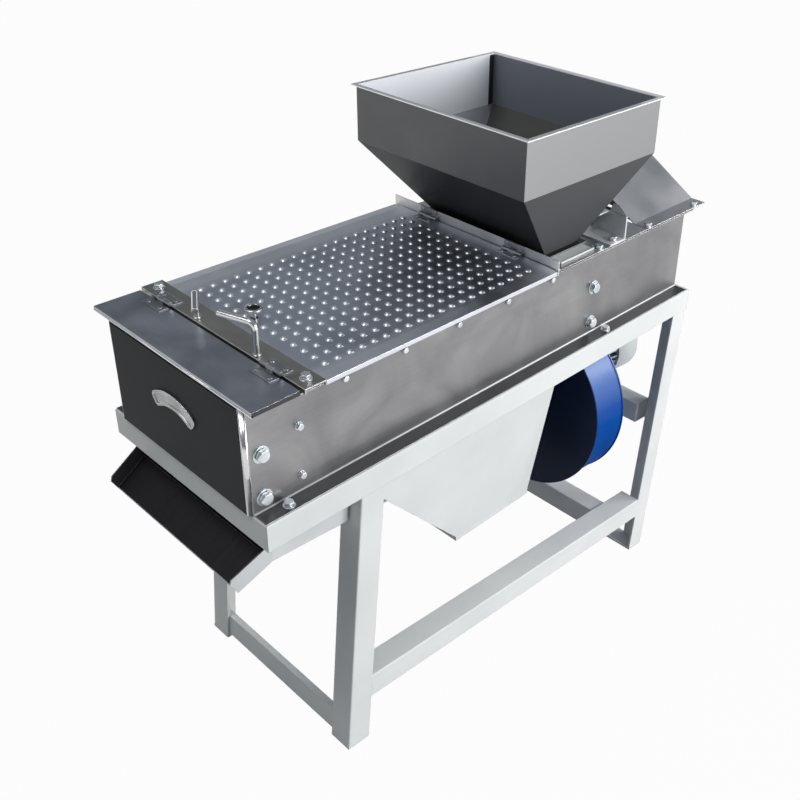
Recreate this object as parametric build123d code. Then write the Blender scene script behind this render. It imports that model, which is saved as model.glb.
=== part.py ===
from build123d import *
from math import atan2, cos, degrees, dist, pi, radians, sin, tan
import os

# Dry peanut peeler, in millimetres. The discharge end points to -X, the hopper end to +X, +Z is up.
# The bed is inclined: bed pieces are drawn level, with x along the bed from its front edge, z up from
# the top of the bed rails, and are then placed on the slope. Legs, chute and fan are drawn upright.

# Frame
incline = 5.0
frame_width = 400.0
rail_length = 1044.0
bed_front_height = 546.0
angle_width = 45.0
angle_wall = 4.5
angle_round = 2.5
front_leg_face = 171.0
lower_rail_top = 137.0
lower_cross_setback = 153.0
middle_cross_offset = 2.0
foot_bar_height = 42.0
foot_bar_thickness = 12.0
foot_bar_lift = 9.0
fan_cross_drop = 185.0
fan_cross_wall = 2.5

# Sheet metal box on the bed
sheet = 2.0
panel_front = 1.5
panel_rear_inset = 10.5
panel_inset = 30.0
panel_height = 176.0
panel_foot_flange = 28.0
panel_top_flange = 20.0
panel_front_return = 24.0
end_panel_inset = 8.0
end_panel_depth = 6.0
corner_gap = 0.3
crescent_centre_height = 28.0
crescent_outer = 94.0
crescent_inner = 70.0
crescent_half_angle = 38.0
crescent_thickness = 3.0
crescent_border = 4.0
crescent_corner = 9.0
crescent_recess = 1.2
rear_panel_inset = 3.0
vent_length = 120.0
vent_height = 6.0
vent_pitch = 18.0
vent_count = 5

# Top bar, lid and dimpled cover
bar_front = 74.4
bar_width = 36.6
bar_overhang = 3.7
bar_height = 14.0
bar_end_leg = 8.0
lid_front = -7.0
lid_inset = 1.0
lid_rise = 12.0
lid_lip = 7.0
lid_side_lip = 7.0
lid_bar_gap = 4.4
cover_inset = 0.0
cover_rise = 12.0
cover_lip = 9.0
cover_margin = 20.0
cover_margin_drop = 2.0
cover_bar_gap = 1.0
cover_strip_gap = 2.0
dimple_pitch_along = 22.4
dimple_pitch_across = 23.3
dimple_front = 26.0
dimple_rear_margin = 22.0
dimple_columns = 14
dimple_centre = -15.0
dimple_radius = 5.6
dimple_height = 3.0
knob_setback = 29.7
knob_side = 3.0
knob_head_radius = 13.5
knob_head_height = 5.0
knob_dish_radius = 9.5
knob_dish_depth = 1.2
knob_stem_radius = 3.5
knob_stem_height = 13.0
knob_foot_radius = 6.0
knob_foot_height = 2.0

# Butt hinges of lid and cover
leaf = 1.5
pin_radius = 1.5
pin_clearance = 0.06
knuckle_radius = 3.5
knuckle_gap = 0.4
knuckle_lift = 0.3
lid_hinge_right = -133.0
lid_hinge_left = 139.0
lid_hinge_length = 46.0
lid_leaf_width = 20.0
cover_hinge_right = -100.5
cover_hinge_left = 107.0
cover_hinge_length = 44.0
cover_leaf_width = 16.0
rivet_radius = 3.4
rivet_height = 1.6
strip_rivet_drop = 4.5

# Vane rods beside the bar
rod_radius = 4.8
rod_setback = 7.4
rod_right_side = -88.0
rod_left_side = 60.0
rod_right_rise = 50.0
rod_left_rise = 44.0
rod_arm = 62.0
rod_bend = 10.0
rod_right_angle = 17.0
rod_left_angle = 32.0
rod_clearance = 0.08
rod_collar_radius = 6.2
rod_collar_height = 2.0
rod_seat_gap = 0.3
vane_length = 46.0
vane_thickness = 2.0
vane_low = 106.0
vane_high = 160.0

# Hopper, its base plate, gate and brackets
strip_front = 602.0
strip_height = 29.0
strip_foot = 20.0
base_inset = 12.0
base_hood_gap = 2.0
throat_front = 641.0
throat_length = 90.0
throat_half = 137.5
guide_width = 8.0
guide_height = 3.0
guide_inset = 1.0
guide_end_inset = 20.0
gate_thickness = 2.0
gate_side_clearance = 0.4
gate_grip_height = 4.0
gate_end_inset = 12.0
gate_overrun = 6.0
hopper_front = 509.5
hopper_length = 349.5
hopper_half = 195.0
hopper_fold = 333.0
hopper_top = 433.5
hopper_rim = 7.0
hopper_flange = 12.0
bracket_sheet = 3.0
bracket_setback = 70.0
bracket_foot_length = 44.0
bracket_width = 76.0
bracket_height = 45.0
bracket_tab_width = 38.0
bracket_tab_top = 14.0
bracket_tab_cut = 24.0
bracket_bend = 40.0
hood_overhang = 32.0
hood_length = 196.0
hood_flange = 31.0
hood_top_half = 50.0
hood_slope = 31.0

# Peeling roller, trough and liners
roller_height = 60.0
roller_radius = 58.0
roller_skin = 8.0
roller_front = 102.0
roller_length = 622.0
hub_radius = 24.0
hub_disc = 10.0
shaft_radius = 12.5
shaft_front = 4.0
shaft_rear = 806.0
shaft_clearance = 0.05
shaft_hole_radius = 17.0
beam_thickness = 20.0
beam_low = 10.0
beam_high = 110.0
front_beam_middle = 20.5
rear_beam_middle = 748.0
bearing_radius = 40.0
bearing_depth = 14.0
bulkhead_front = 92.0
rear_bulkhead = 732.0
bulkhead_low = -8.0
bulkhead_tongue_half = 72.0
bulkhead_tab = 20.0
window_length = 40.0
window_low = 110.0
window_high = 156.0
guide_block_half = 8.0
guide_block_low = 92.0
guide_block_height = 6.0
trough_gap = 8.0
trough_sheet = 1.5
trough_flange = 26.0
slot_length = 38.0
slot_width = 4.0
slot_pitch = 46.0
slot_count = 11
slot_first = 190.0
slot_angles = (-56.0, -28.0, 0.0, 28.0, 56.0)
liner_top = 166.0
liner_fold = 138.0
liner_foot = 14.0

# Roller drive
pulley_front = 776.0
pulley_width = 22.0
roller_pulley_radius = 46.0
motor_pulley_radius = 30.0
belt_width = 12.0
belt_thickness = 8.0
belt_gap = 0.3
belt_proud = 1.0
motor_plate = 6.0
motor_plate_half = 72.0
motor_plate_gap = 1.0
motor_plate_side_gap = 4.0
motor_rise = 71.0
motor_radius = 60.0
motor_fin = 6.0
motor_fin_thickness = 3.0
motor_fin_count = 28
motor_pulley_gap = 8.0
motor_bell = 14.0
motor_length = 140.0
motor_cowl_radius = 68.0
motor_cowl_length = 62.0
motor_shaft_radius = 9.5
motor_foot_length = 90.0
motor_foot_half = 56.0
motor_foot_thickness = 9.0
terminal_length = 70.0
terminal_half = 40.0
terminal_height = 30.0

# Discharge chute
chute_tip_x = -22.0
chute_tip_drop = 122.0
chute_knee_x = 30.0
chute_knee_drop = 88.0
chute_rear_x = 168.0
chute_rear_drop = 84.0
chute_wall = 28.0
chute_sheet = 2.0
chute_overlap = 20.0
chute_nose_cut = 6.0
chute_lip_half = 165.5
chute_half = 174.0

# Skin hopper
skin_sheet = 2.0
skin_front = 182.0
skin_rear_x = 690.0
skin_low = -357.0
skin_rim_lip = 14.0
skin_end_top = -12.0
skin_lip = 9.0
skin_floor_front = 459.0
skin_floor_half = 118.0

# Fan
fan_front_setback = 263.0
fan_width = 86.0
fan_plate = 3.0
fan_radius = 176.0
fan_offset_y = -22.0
fan_offset_z = -41.0
fan_sheet = 2.0
fan_front_flange = 4.0
fan_back_flange = 2.0
spout_height = 110.0
spout_flange = 3.0
spout_flange_margin = 20.0
spout_hole_radius = 4.5
spout_hole_inset = 10.0
inlet_radius = 65.0
impeller_radius = 116.0
impeller_width = 56.0
impeller_disc = 3.0
impeller_hub = 20.0
impeller_blades = 10
impeller_blade = 3.0
impeller_gap = 8.0
fan_shaft_radius = 7.0
fan_motor_rise = 63.0
fan_motor_plate = 4.0
fan_motor_plate_half = 62.0
fan_motor_plate_length = 64.0
fan_motor_plate_gap = 2.0
fan_motor_radius = 55.0
fan_motor_fin = 6.0
fan_motor_length = 163.0
fan_motor_cowl_radius = 66.0
fan_motor_cowl_length = 80.0
fan_motor_cowl_round = 14.0
fan_motor_foot_length = 54.0
fan_motor_foot_half = 48.0

# Fasteners
washer = 1.6
spring_washer = 1.4
spring_share = 0.43
head_round_share = 0.47
hole_clearance = 0.25
beam_bolt = 6.0
beam_bolt_across = 18.0
beam_bolt_head = 6.6
beam_bolt_washer = 13.0
beam_bolt_grip = 26.0
beam_bolt_high = 96.0
beam_bolt_low = 24.0
small_bolt = 3.0
small_bolt_across = 10.0
small_bolt_head = 4.0
small_bolt_washer = 6.5
small_bolt_grip = 8.0
small_bolt_along = 84.0
small_bolt_high = 112.0
small_bolt_low = 29.0
edge_screw = 2.5
edge_screw_head = 5.4
edge_screw_head_height = 5.5
edge_screw_round = 2.4
edge_screw_grip = 4.2
edge_screw_height = 152.5
edge_screw_first = 168.0
edge_screw_pitch = 114.2
edge_screw_count = 5
deck_bolt = 4.0
deck_bolt_across = 13.0
deck_bolt_head = 5.0
deck_bolt_washer = 9.0
flange_bolt_inset = 14.0
flange_bolt_front = 49.0
flange_bolt_rear = 778.0
bar_bolt_inset = 21.7
hood_bolt_inset = 8.0
hood_bolt_margin = 4.0
hood_bolt_rear = 30.0
bracket_bolt_inset = 11.0
bracket_bolt_lead = 23.0
base_bolt_inset = 9.0
base_bolt_lag = 0.6

# Worked out from the sizes above
slope = radians(incline)
half_width = frame_width / 2
inner_half = half_width - angle_width
flange_half = half_width - angle_wall
panel_rear = rail_length - panel_rear_inset
panel_half = half_width - panel_inset
panel_inner = panel_half - sheet
end_panel_half = panel_half - end_panel_inset
rear_panel_face = panel_rear - rear_panel_inset - sheet
bar_rear = bar_front + bar_width
bar_top = panel_height + bar_height
bar_half = half_width + bar_overhang
lid_top = panel_height + lid_rise
lid_rear = bar_front - lid_bar_gap
lid_half = half_width - lid_inset
cover_top = panel_height + cover_rise
cover_front = bar_rear + cover_bar_gap
cover_rear = strip_front - cover_strip_gap
cover_half = half_width - cover_inset
base_top = panel_height + sheet
gate_low = base_top + (guide_height - gate_thickness) / 2
gate_high = gate_low + gate_thickness
flange_low = base_top + guide_height
flange_high = flange_low + sheet
throat_rear = throat_front + throat_length
hopper_rear = hopper_front + hopper_length
hood_rear = rail_length + hood_overhang
hood_front = hood_rear - hood_length
base_half = half_width - base_inset
base_rear = hood_front - base_hood_gap
bracket_rear = base_rear - bracket_setback
bracket_front = bracket_rear - bracket_foot_length
bracket_inner = base_half - bracket_width
bracket_bolt_along = bracket_rear - bracket_bolt_lead
hood_half = base_half - hood_flange
hood_rise = (hood_half - hood_top_half) * tan(radians(hood_slope))
roller_rear = roller_front + roller_length
trough_inner = roller_radius + trough_gap
trough_outer = trough_inner + trough_sheet
trough_front = bulkhead_front + sheet
rod_x = bar_front + rod_setback
pulley_rear = pulley_front + pulley_width
motor_front = pulley_rear + motor_pulley_gap
motor_side = panel_inner - motor_plate_side_gap - motor_plate_half
motor_axis = motor_plate + motor_rise
middle_cross_front = motor_front + middle_cross_offset
motor_rear = motor_front + motor_bell + motor_length
rear_face_x = rail_length * cos(slope)
chute_tip_z = bed_front_height - chute_tip_drop
chute_knee_z = bed_front_height - chute_knee_drop
chute_rear_z = bed_front_height - chute_rear_drop
fan_cross_top = bed_front_height - fan_cross_drop
fan_front_x = rear_face_x - fan_front_setback
fan_back_x = fan_front_x + fan_plate + fan_width
fan_motor_x = fan_back_x + fan_plate
fan_cowl_x = fan_motor_x + fan_motor_length
fan_axis = fan_cross_top + fan_motor_plate + fan_motor_rise
fan_centre_y = fan_offset_y
fan_centre_z = fan_axis + fan_offset_z
spout_end = half_width - spout_flange
flange_bolt_side = half_width - flange_bolt_inset
flange_bolt_along = (flange_bolt_front, flange_bolt_rear)
bar_bolt_side = bar_half - bar_bolt_inset
hood_bolt_side = base_half - hood_bolt_inset
bracket_bolt_side = base_half - bracket_bolt_inset
base_bolt_side = base_half - base_bolt_inset
right, left = -1, 1
bed_place = Pos(0, 0, bed_front_height) * Rot(0, -incline, 0)


def span(a, b):
    """Low and high end of a stretch given by its two ends in any order."""
    return (min(a, b), max(a, b))


def block(x, y, z):
    """A box given by its low and high ends along each axis."""
    middle = [(ends[0] + ends[1]) / 2 for ends in (x, y, z)]
    return Pos(*middle) * Box(x[1] - x[0], y[1] - y[0], z[1] - z[0])


def side_prism(points, y):
    """An outline in x and z, drawn out across y."""
    face = Plane.XZ * Polygon(*points, align=None)
    return Pos(0, y[0], 0) * extrude(face, amount=y[1] - y[0], dir=(0, 1, 0))


def end_prism(points, x):
    """An outline in y and z, drawn out along x."""
    face = Plane.YZ * Polygon(*points, align=None)
    return Pos(x[0], 0, 0) * extrude(face, amount=x[1] - x[0], dir=(1, 0, 0))


def plan_prism(points, z):
    """An outline in x and y, drawn upward."""
    face = Polygon(*points, align=None)
    return Pos(0, 0, z[0]) * extrude(face, amount=z[1] - z[0], dir=(0, 0, 1))


def rod_along_x(x, y, z, radius):
    return Pos((x[0] + x[1]) / 2, y, z) * Rot(0, 90, 0) * Cylinder(radius, x[1] - x[0])


def rod_along_y(x, y, z, radius):
    return Pos(x, (y[0] + y[1]) / 2, z) * Rot(90, 0, 0) * Cylinder(radius, y[1] - y[0])


def rod_along_z(x, y, z, radius):
    return Pos(x, y, (z[0] + z[1]) / 2) * Cylinder(radius, z[1] - z[0])


def frustum(low, high):
    """A solid between two level rectangles, each (x ends, y ends, height)."""
    faces = []
    for x, y, z in (low, high):
        face = Rectangle(x[1] - x[0], y[1] - y[0])
        faces.append(Pos((x[0] + x[1]) / 2, (y[0] + y[1]) / 2, z) * face)
    return loft(faces)


def group(solids):
    """Several separate solids that share one node."""
    return Compound([solid for piece in solids for solid in piece.solids()])


def on_bed(piece):
    return bed_place * piece


def bed_x(x, z):
    """Place along the bed of a point with upright coordinate x at bed height z."""
    return (x + z * sin(slope)) / cos(slope)


def upright_z(x, z):
    """Height above the floor of a point at upright coordinate x and bed height z."""
    return bed_front_height + bed_x(x, z) * sin(slope) + z * cos(slope)


# Frame pieces


def heeled(body, along, place):
    """The body with its long edge nearest to a place rounded, like the heel of a bent angle."""
    return fillet(body.edges().filter_by(along).sort_by_distance(place)[0], angle_round)


def angle_iron(x, y, z, heel):
    """A straight angle. heel says on which side of each axis its flanges lie, and is 0 lengthwise."""
    hollow = []
    corner = []
    for (low, high), side in zip((x, y, z), heel):
        hollow.append((low + (angle_wall if side < 0 else 0), high - (angle_wall if side > 0 else 0)))
        corner.append((low + high + side * (high - low)) / 2)
    along = (Axis.X, Axis.Y, Axis.Z)[heel.index(0)]
    return heeled(block(x, y, z), along, tuple(corner)) - block(*hollow)


def top_rail(side):
    """Side angle of the bed frame, mitred at both ends: one flange on top, one hanging at the outside."""
    outline = [
        (0, side * half_width),
        (rail_length, side * half_width),
        (rail_length - angle_width, side * inner_half),
        (angle_width, side * inner_half),
    ]
    hollow_y = span(side * flange_half, side * inner_half)
    hollow = block((0, rail_length), hollow_y, (-angle_width, -angle_wall))
    body = plan_prism(outline, (-angle_width, 0))
    body = on_bed(heeled(body, Axis.X, (rail_length / 2, side * half_width, 0)) - hollow)
    for x in flange_bolt_along:
        hole = rod_along_z(x, side * flange_bolt_side, (-2 * angle_wall, 0), deck_bolt + hole_clearance)
        body -= on_bed(hole)
    return body


def top_end_cross(end):
    """Front (end 0) or rear (end 1) angle of the bed frame, mitred into the side angles."""
    def along(x):
        return rail_length - x if end else x

    outline = [
        (along(0), -half_width),
        (along(0), half_width),
        (along(angle_width), inner_half),
        (along(angle_width), -inner_half),
    ]
    hollow_x = span(along(angle_wall), along(angle_width))
    hollow = block(hollow_x, (-half_width, half_width), (-angle_width, -angle_wall))
    body = plan_prism(outline, (-angle_width, 0))
    return on_bed(heeled(body, Axis.Y, (along(0), 0, 0)) - hollow)


def top_middle_cross():
    """Cross angle under the drive motor, flush with the rails' top flanges."""
    x = (middle_cross_front, middle_cross_front + angle_width)
    return on_bed(angle_iron(x, (-inner_half, inner_half), (-angle_width, 0), (-1, 0, 1)))


def leg(side, face_x, end):
    """An upright angle on a foot plate, cut to the slope under the bed rail. Its heel points outwards."""
    x = (face_x, face_x + angle_width)
    y = span(side * half_width, side * inner_half)
    z = (0, upright_z(face_x + angle_width, 0))
    above = on_bed(block((-angle_width, rail_length + angle_width), (-frame_width, frame_width),
                         (-angle_width, angle_width)))
    return angle_iron(x, y, z, (end, side, 0)) + block(x, y, (0, angle_wall)) - above


front_leg_x = front_leg_face
rear_leg_x = rear_face_x - angle_width
lower_rail_z = (lower_rail_top - angle_width, lower_rail_top)


def lower_rail(side):
    """Angle between the legs' outer flanges, with one flange on top."""
    y = span(side * half_width, side * inner_half)
    return angle_iron((front_leg_x + angle_width, rear_leg_x), y, lower_rail_z, (0, side, 1))


def lower_cross():
    """Cross angle under the top flanges of the lower rails, between their outer flanges."""
    front = rear_face_x - lower_cross_setback
    x = (front, front + angle_width)
    top = lower_rail_top - angle_wall
    return angle_iron(x, (-flange_half, flange_half), (top - angle_width, top), (-1, 0, 1))


def foot_bars():
    """A bar on edge behind the front legs' flanges, and a flat bar on the floor between the rear legs."""
    front_x = front_leg_x + angle_wall
    front_z = (foot_bar_lift, foot_bar_lift + foot_bar_height)
    front = block((front_x, front_x + foot_bar_thickness), (-flange_half, flange_half), front_z)
    rear = block((rear_leg_x, rear_face_x), (-inner_half, inner_half), (0, angle_wall))
    return group([front, rear])


def fan_cross():
    """Square tube between the rear legs, which carries the fan's motor."""
    x = (rear_leg_x, rear_face_x)
    y = (-inner_half, inner_half)
    z = (fan_cross_top - angle_width, fan_cross_top)
    bore_x = (x[0] + fan_cross_wall, x[1] - fan_cross_wall)
    bore_z = (z[0] + fan_cross_wall, z[1] - fan_cross_wall)
    body = block(x, y, z)
    return fillet(body.edges().filter_by(Axis.Y), angle_round) - block(bore_x, y, bore_z)


# Sheet metal box

beam_bolt_places = [
    (x, z) for x in (front_beam_middle, rear_beam_middle) for z in (beam_bolt_low, beam_bolt_high)
]
small_bolt_places = [(small_bolt_along, z) for z in (small_bolt_low, small_bolt_high)]
edge_screw_places = [
    (edge_screw_first + i * edge_screw_pitch, edge_screw_height) for i in range(edge_screw_count)
]
hood_bolt_along = (hood_front + hood_bolt_margin + deck_bolt_across / 2, hood_rear - hood_bolt_rear)
bar_bolt_along = bar_front + bar_width / 2
guide_x = (
    (throat_front - guide_inset - guide_width, throat_front - guide_inset),
    (throat_rear + guide_inset, throat_rear + guide_inset + guide_width),
)
base_bolt_along = throat_rear + guide_inset + deck_bolt_washer + base_bolt_lag


def side_holes(places, radius, side, y):
    """Round holes through a side wall."""
    cuts = [rod_along_y(x, y, z, radius + hole_clearance) for x, z in places]
    return cuts


def side_panel(side):
    x = (panel_front, panel_rear)
    web = block(x, span(side * panel_inner, side * panel_half), (0, panel_height))
    foot = block(x, span(side * panel_half, side * (panel_half + panel_foot_flange)), (0, sheet))
    top_y = span(side * panel_half, side * (panel_half + panel_top_flange))
    top = block(x, top_y, (panel_height - sheet, panel_height))
    return_y = span(side * panel_half, side * (panel_half - panel_front_return))
    front = block((panel_front, panel_front + sheet), return_y, (0, panel_height))
    near = end_panel_half + corner_gap
    corner = [(panel_front, panel_half), (panel_front - end_panel_depth, near), (panel_front, near)]
    strip = plan_prism([(along, side * across) for along, across in corner], (0, panel_height))
    body = web + foot + top + front + strip
    wall = span(side * (panel_inner - sheet), side * (panel_half + sheet))
    cuts = side_holes(beam_bolt_places, beam_bolt, side, wall)
    cuts += side_holes(small_bolt_places, small_bolt, side, wall)
    cuts += side_holes(edge_screw_places, edge_screw, side, wall)
    hole = deck_bolt + hole_clearance
    for x in flange_bolt_along:
        cuts.append(rod_along_z(x, side * flange_bolt_side, (-sheet, 2 * sheet), hole))
    top_holes = [(bar_bolt_along, bar_bolt_side), (bracket_bolt_along, bracket_bolt_side)]
    top_holes += [(base_bolt_along, base_bolt_side)]
    top_holes += [(x, hood_bolt_side) for x in hood_bolt_along]
    for x, y in top_holes:
        cuts.append(rod_along_z(x, side * y, (panel_height - 2 * sheet, panel_height + sheet), hole))
    return on_bed(body - cuts)


def front_end_panel():
    """A shallow tray on the panels' front returns, open towards the machine."""
    x = (panel_front - end_panel_depth, panel_front)
    outer = block(x, (-end_panel_half, end_panel_half), (sheet, panel_height - sheet))
    inner = block(
        (x[0] + sheet, x[1]),
        (-end_panel_half + sheet, end_panel_half - sheet),
        (2 * sheet, panel_height - 2 * sheet),
    )
    return on_bed(outer - inner)


def arc_sector(inner, outer, half_angle, x):
    """A slice of a ring about the crescent's centre, standing across the machine."""
    ring = Circle(outer) - Circle(inner)
    reach = 2 * outer
    side = reach * tan(radians(half_angle))
    wedge = Polygon((0, 0), (-side, reach), (side, reach), align=None)
    face = Plane.YZ * (Pos(0, crescent_centre_height) * (ring & wedge))
    return Pos(x[0], 0, 0) * extrude(face, amount=x[1] - x[0], dir=(1, 0, 0))


def crescent_plate():
    face = panel_front - end_panel_depth
    plate = arc_sector(
        crescent_inner, crescent_outer, crescent_half_angle, (face - crescent_thickness, face)
    )
    plate = fillet(plate.edges().filter_by(Axis.X), crescent_corner)
    middle = (crescent_inner + crescent_outer) / 2
    inset_angle = crescent_half_angle - degrees(crescent_border / middle)
    recess = arc_sector(
        crescent_inner + crescent_border,
        crescent_outer - crescent_border,
        inset_angle,
        (face - crescent_thickness, face - crescent_thickness + crescent_recess),
    )
    return on_bed(plate - recess)


def rear_end_panel():
    x = (rear_panel_face, rear_panel_face + sheet)
    plate = block(x, (-panel_inner, panel_inner), (sheet, panel_height - sheet))
    first = panel_height / 2 - (vent_count - 1) * vent_pitch / 2
    for i in range(vent_count):
        z = first + i * vent_pitch
        slot = (z - vent_height / 2, z + vent_height / 2)
        plate -= block((x[0] - sheet, x[1] + sheet), (-vent_length / 2, vent_length / 2), slot)
    return on_bed(plate)


# Top bar, lid, cover and their hinges


def top_bar():
    """An inverted channel across the box, bolted to the panels' top flanges."""
    x = (bar_front, bar_rear)
    y = (-bar_half, bar_half)
    body = block(x, y, (panel_height, bar_top))
    body -= block((bar_front + sheet, bar_rear - sheet), y, (panel_height, bar_top - sheet))
    flange_edge = panel_half + panel_top_flange
    for side in (right, left):
        overhang = span(side * flange_edge, side * bar_half)
        body -= block(x, overhang, (panel_height, bar_top - bar_end_leg))
        z = (panel_height, bar_top + sheet)
        body -= rod_along_z(bar_bolt_along, side * bar_bolt_side, z, deck_bolt + hole_clearance)
    for y in (rod_right_side, rod_left_side):
        body -= rod_along_z(rod_x, y, (panel_height, bar_top + sheet), rod_radius + rod_clearance)
    return on_bed(body)


def front_lid():
    plate = block((lid_front, lid_rear), (-lid_half, lid_half), (lid_top - sheet, lid_top))
    lip = block((lid_front, lid_front + sheet), (-lid_half, lid_half), (lid_top - lid_lip, lid_top))
    body = plate + lip
    for side in (right, left):
        y = span(side * lid_half, side * (lid_half - sheet))
        body += block((lid_front, lid_rear), y, (lid_top - lid_side_lip, lid_top))
    return on_bed(body)


lid_hinge_x = (lid_rear + bar_front) / 2
lid_hinge_z = bar_top + knuckle_radius + knuckle_lift
cover_hinge_x = strip_front - leaf - knuckle_radius
cover_hinge_z = cover_top + knuckle_radius
knuckle_bore = pin_radius + pin_clearance


def knuckle_stretches(length):
    """Ends of the moving middle knuckle and the two fixed end knuckles."""
    third = length / 6
    middle = (-third + knuckle_gap / 2, third - knuckle_gap / 2)
    ends = [(-length / 2, -third - knuckle_gap / 2), (third + knuckle_gap / 2, length / 2)]
    return middle, ends


def rivet_heads(places, z):
    heads = None
    for x, y in places:
        head = rod_along_z(x, y, (z, z + rivet_height), rivet_radius)
        heads = head if heads is None else heads + head
    return heads


def leaf_rivets(x, y, length):
    return [(x, y - length / 3), (x, y + length / 3)]


def lid_hinge_fixed(y):
    length = lid_hinge_length
    x = (lid_hinge_x, lid_hinge_x + lid_leaf_width)
    clear = knuckle_radius + knuckle_gap
    plate = block(x, (y - length / 2, y + length / 2), (bar_top, bar_top + leaf))
    middle = (y - length / 6 - knuckle_gap / 2, y + length / 6 + knuckle_gap / 2)
    plate -= block((x[0], x[0] + clear), middle, (bar_top, bar_top + leaf))
    body = plate + rivet_heads(leaf_rivets(x[1] - lid_leaf_width / 3, y, length), bar_top + leaf)
    for ends in knuckle_stretches(length)[1]:
        body += rod_along_y(lid_hinge_x, (y + ends[0], y + ends[1]), lid_hinge_z, knuckle_radius)
    return body + rod_along_y(lid_hinge_x, (y - length / 2, y + length / 2), lid_hinge_z, pin_radius)


def lid_hinge_moving(y):
    length = lid_hinge_length
    middle = knuckle_stretches(length)[0]
    x = (lid_hinge_x - lid_leaf_width, lid_hinge_x)
    clear = knuckle_radius + knuckle_gap
    plate = block((x[0], x[1] - clear), (y - length / 2, y + length / 2), (lid_top, lid_top + leaf))
    plate += block((x[1] - clear, x[1]), (y + middle[0], y + middle[1]), (lid_top, lid_hinge_z))
    body = plate + rivet_heads(leaf_rivets(x[0] + lid_leaf_width / 3, y, length), lid_top + leaf)
    body += rod_along_y(lid_hinge_x, (y + middle[0], y + middle[1]), lid_hinge_z, knuckle_radius)
    return body - rod_along_y(lid_hinge_x, (y - length, y + length), lid_hinge_z, knuckle_bore)


def cover_hinge_fixed(y):
    length = cover_hinge_length
    x = (strip_front - leaf, strip_front)
    z = (cover_hinge_z, panel_height + strip_height)
    body = block(x, (y - length / 2, y + length / 2), z)
    for ends in knuckle_stretches(length)[1]:
        place = (y + ends[0], y + ends[1])
        body += rod_along_y(cover_hinge_x, place, cover_hinge_z, knuckle_radius)
        body += block((cover_hinge_x, x[1]), place, (cover_hinge_z, cover_hinge_z + knuckle_radius))
    middle = (y - length / 6 - knuckle_gap / 2, y + length / 6 + knuckle_gap / 2)
    reach = knuckle_radius + knuckle_gap
    body -= rod_along_y(cover_hinge_x, middle, cover_hinge_z, reach)
    for rivet_y in (y - length / 3, y + length / 3):
        heads = (x[0] - rivet_height, x[0])
        body += rod_along_x(heads, rivet_y, z[1] - strip_rivet_drop, rivet_radius)
    pin = rod_along_y(cover_hinge_x, (y - length / 2, y + length / 2), cover_hinge_z, pin_radius)
    return body + pin


def cover_hinge_moving(y):
    length = cover_hinge_length
    middle = knuckle_stretches(length)[0]
    x = (cover_hinge_x - cover_leaf_width, cover_hinge_x)
    clear = knuckle_radius + knuckle_gap
    z = (cover_top, cover_top + leaf)
    plate = block((x[0], x[1] - clear), (y - length / 2, y + length / 2), z)
    plate += block((x[1] - clear, x[1]), (y + middle[0], y + middle[1]), z)
    body = plate + rivet_heads(leaf_rivets(x[0] + cover_leaf_width / 3, y, length), cover_top + leaf)
    body += rod_along_y(cover_hinge_x, (y + middle[0], y + middle[1]), cover_hinge_z, knuckle_radius)
    return body - rod_along_y(cover_hinge_x, (y - length, y + length), cover_hinge_z, knuckle_bore)


def fixed_hinge_leaves():
    solids = [on_bed(lid_hinge_fixed(y)) for y in (lid_hinge_right, lid_hinge_left)]
    solids += [on_bed(cover_hinge_fixed(y)) for y in (cover_hinge_right, cover_hinge_left)]
    return group(solids)


def lid_hinge_leaves():
    return group(on_bed(lid_hinge_moving(y)) for y in (lid_hinge_right, lid_hinge_left))


def cover_hinge_leaves():
    return group(on_bed(cover_hinge_moving(y)) for y in (cover_hinge_right, cover_hinge_left))


def dimple_places():
    """Centres of the pressed dimples, in straight rows along and across the cover."""
    first = cover_front + dimple_front
    rows = int((cover_rear - dimple_rear_margin - first) / dimple_pitch_along) + 1
    start = dimple_centre - (dimple_columns - 1) * dimple_pitch_across / 2
    knob = (cover_front + knob_setback, knob_side)
    places = []
    for i in range(rows):
        for j in range(dimple_columns):
            place = (first + i * dimple_pitch_along, start + j * dimple_pitch_across)
            if dist(place, knob) > knob_foot_radius + dimple_radius:
                places.append(place)
    return places


def screen_cover():
    """Dimpled sheet: side margins that fall away, then turned-down lips. Each dimple is a low dome."""
    x = (cover_front, cover_rear)
    fold = cover_half - cover_margin
    lip_low = cover_top - cover_lip
    edge = cover_top - cover_margin_drop
    outside = [(cover_half, lip_low), (cover_half, edge), (fold, cover_top)]
    inside = [(fold, cover_top - sheet), (cover_half - sheet, edge - sheet), (cover_half - sheet, lip_low)]
    outline = outside + [(-y, z) for y, z in reversed(outside)]
    outline += [(-y, z) for y, z in reversed(inside)] + inside
    body = end_prism(outline, x)
    dome_radius = (dimple_radius ** 2 + dimple_height ** 2) / (2 * dimple_height)
    dome = Pos(0, 0, dimple_height - dome_radius) * Sphere(dome_radius)
    dome &= Pos(0, 0, dimple_height / 2) * Box(2 * dome_radius, 2 * dome_radius, dimple_height)
    domes = [Pos(px, py, cover_top) * dome for px, py in dimple_places()]
    return on_bed(body + domes)


def cover_knob():
    x = cover_front + knob_setback
    z = cover_top
    body = rod_along_z(x, knob_side, (z, z + knob_foot_height), knob_foot_radius)
    stem_top = z + knob_foot_height + knob_stem_height
    body += rod_along_z(x, knob_side, (z + knob_foot_height, stem_top), knob_stem_radius)
    head = rod_along_z(x, knob_side, (stem_top, stem_top + knob_head_height), knob_head_radius)
    head = fillet(head.edges().filter_by(GeomType.CIRCLE), knob_head_height / 2.5)
    head_top = stem_top + knob_head_height
    dish = rod_along_z(x, knob_side, (head_top - knob_dish_depth, head_top), knob_dish_radius)
    return on_bed(body + head - dish)


# Vane rods


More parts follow.
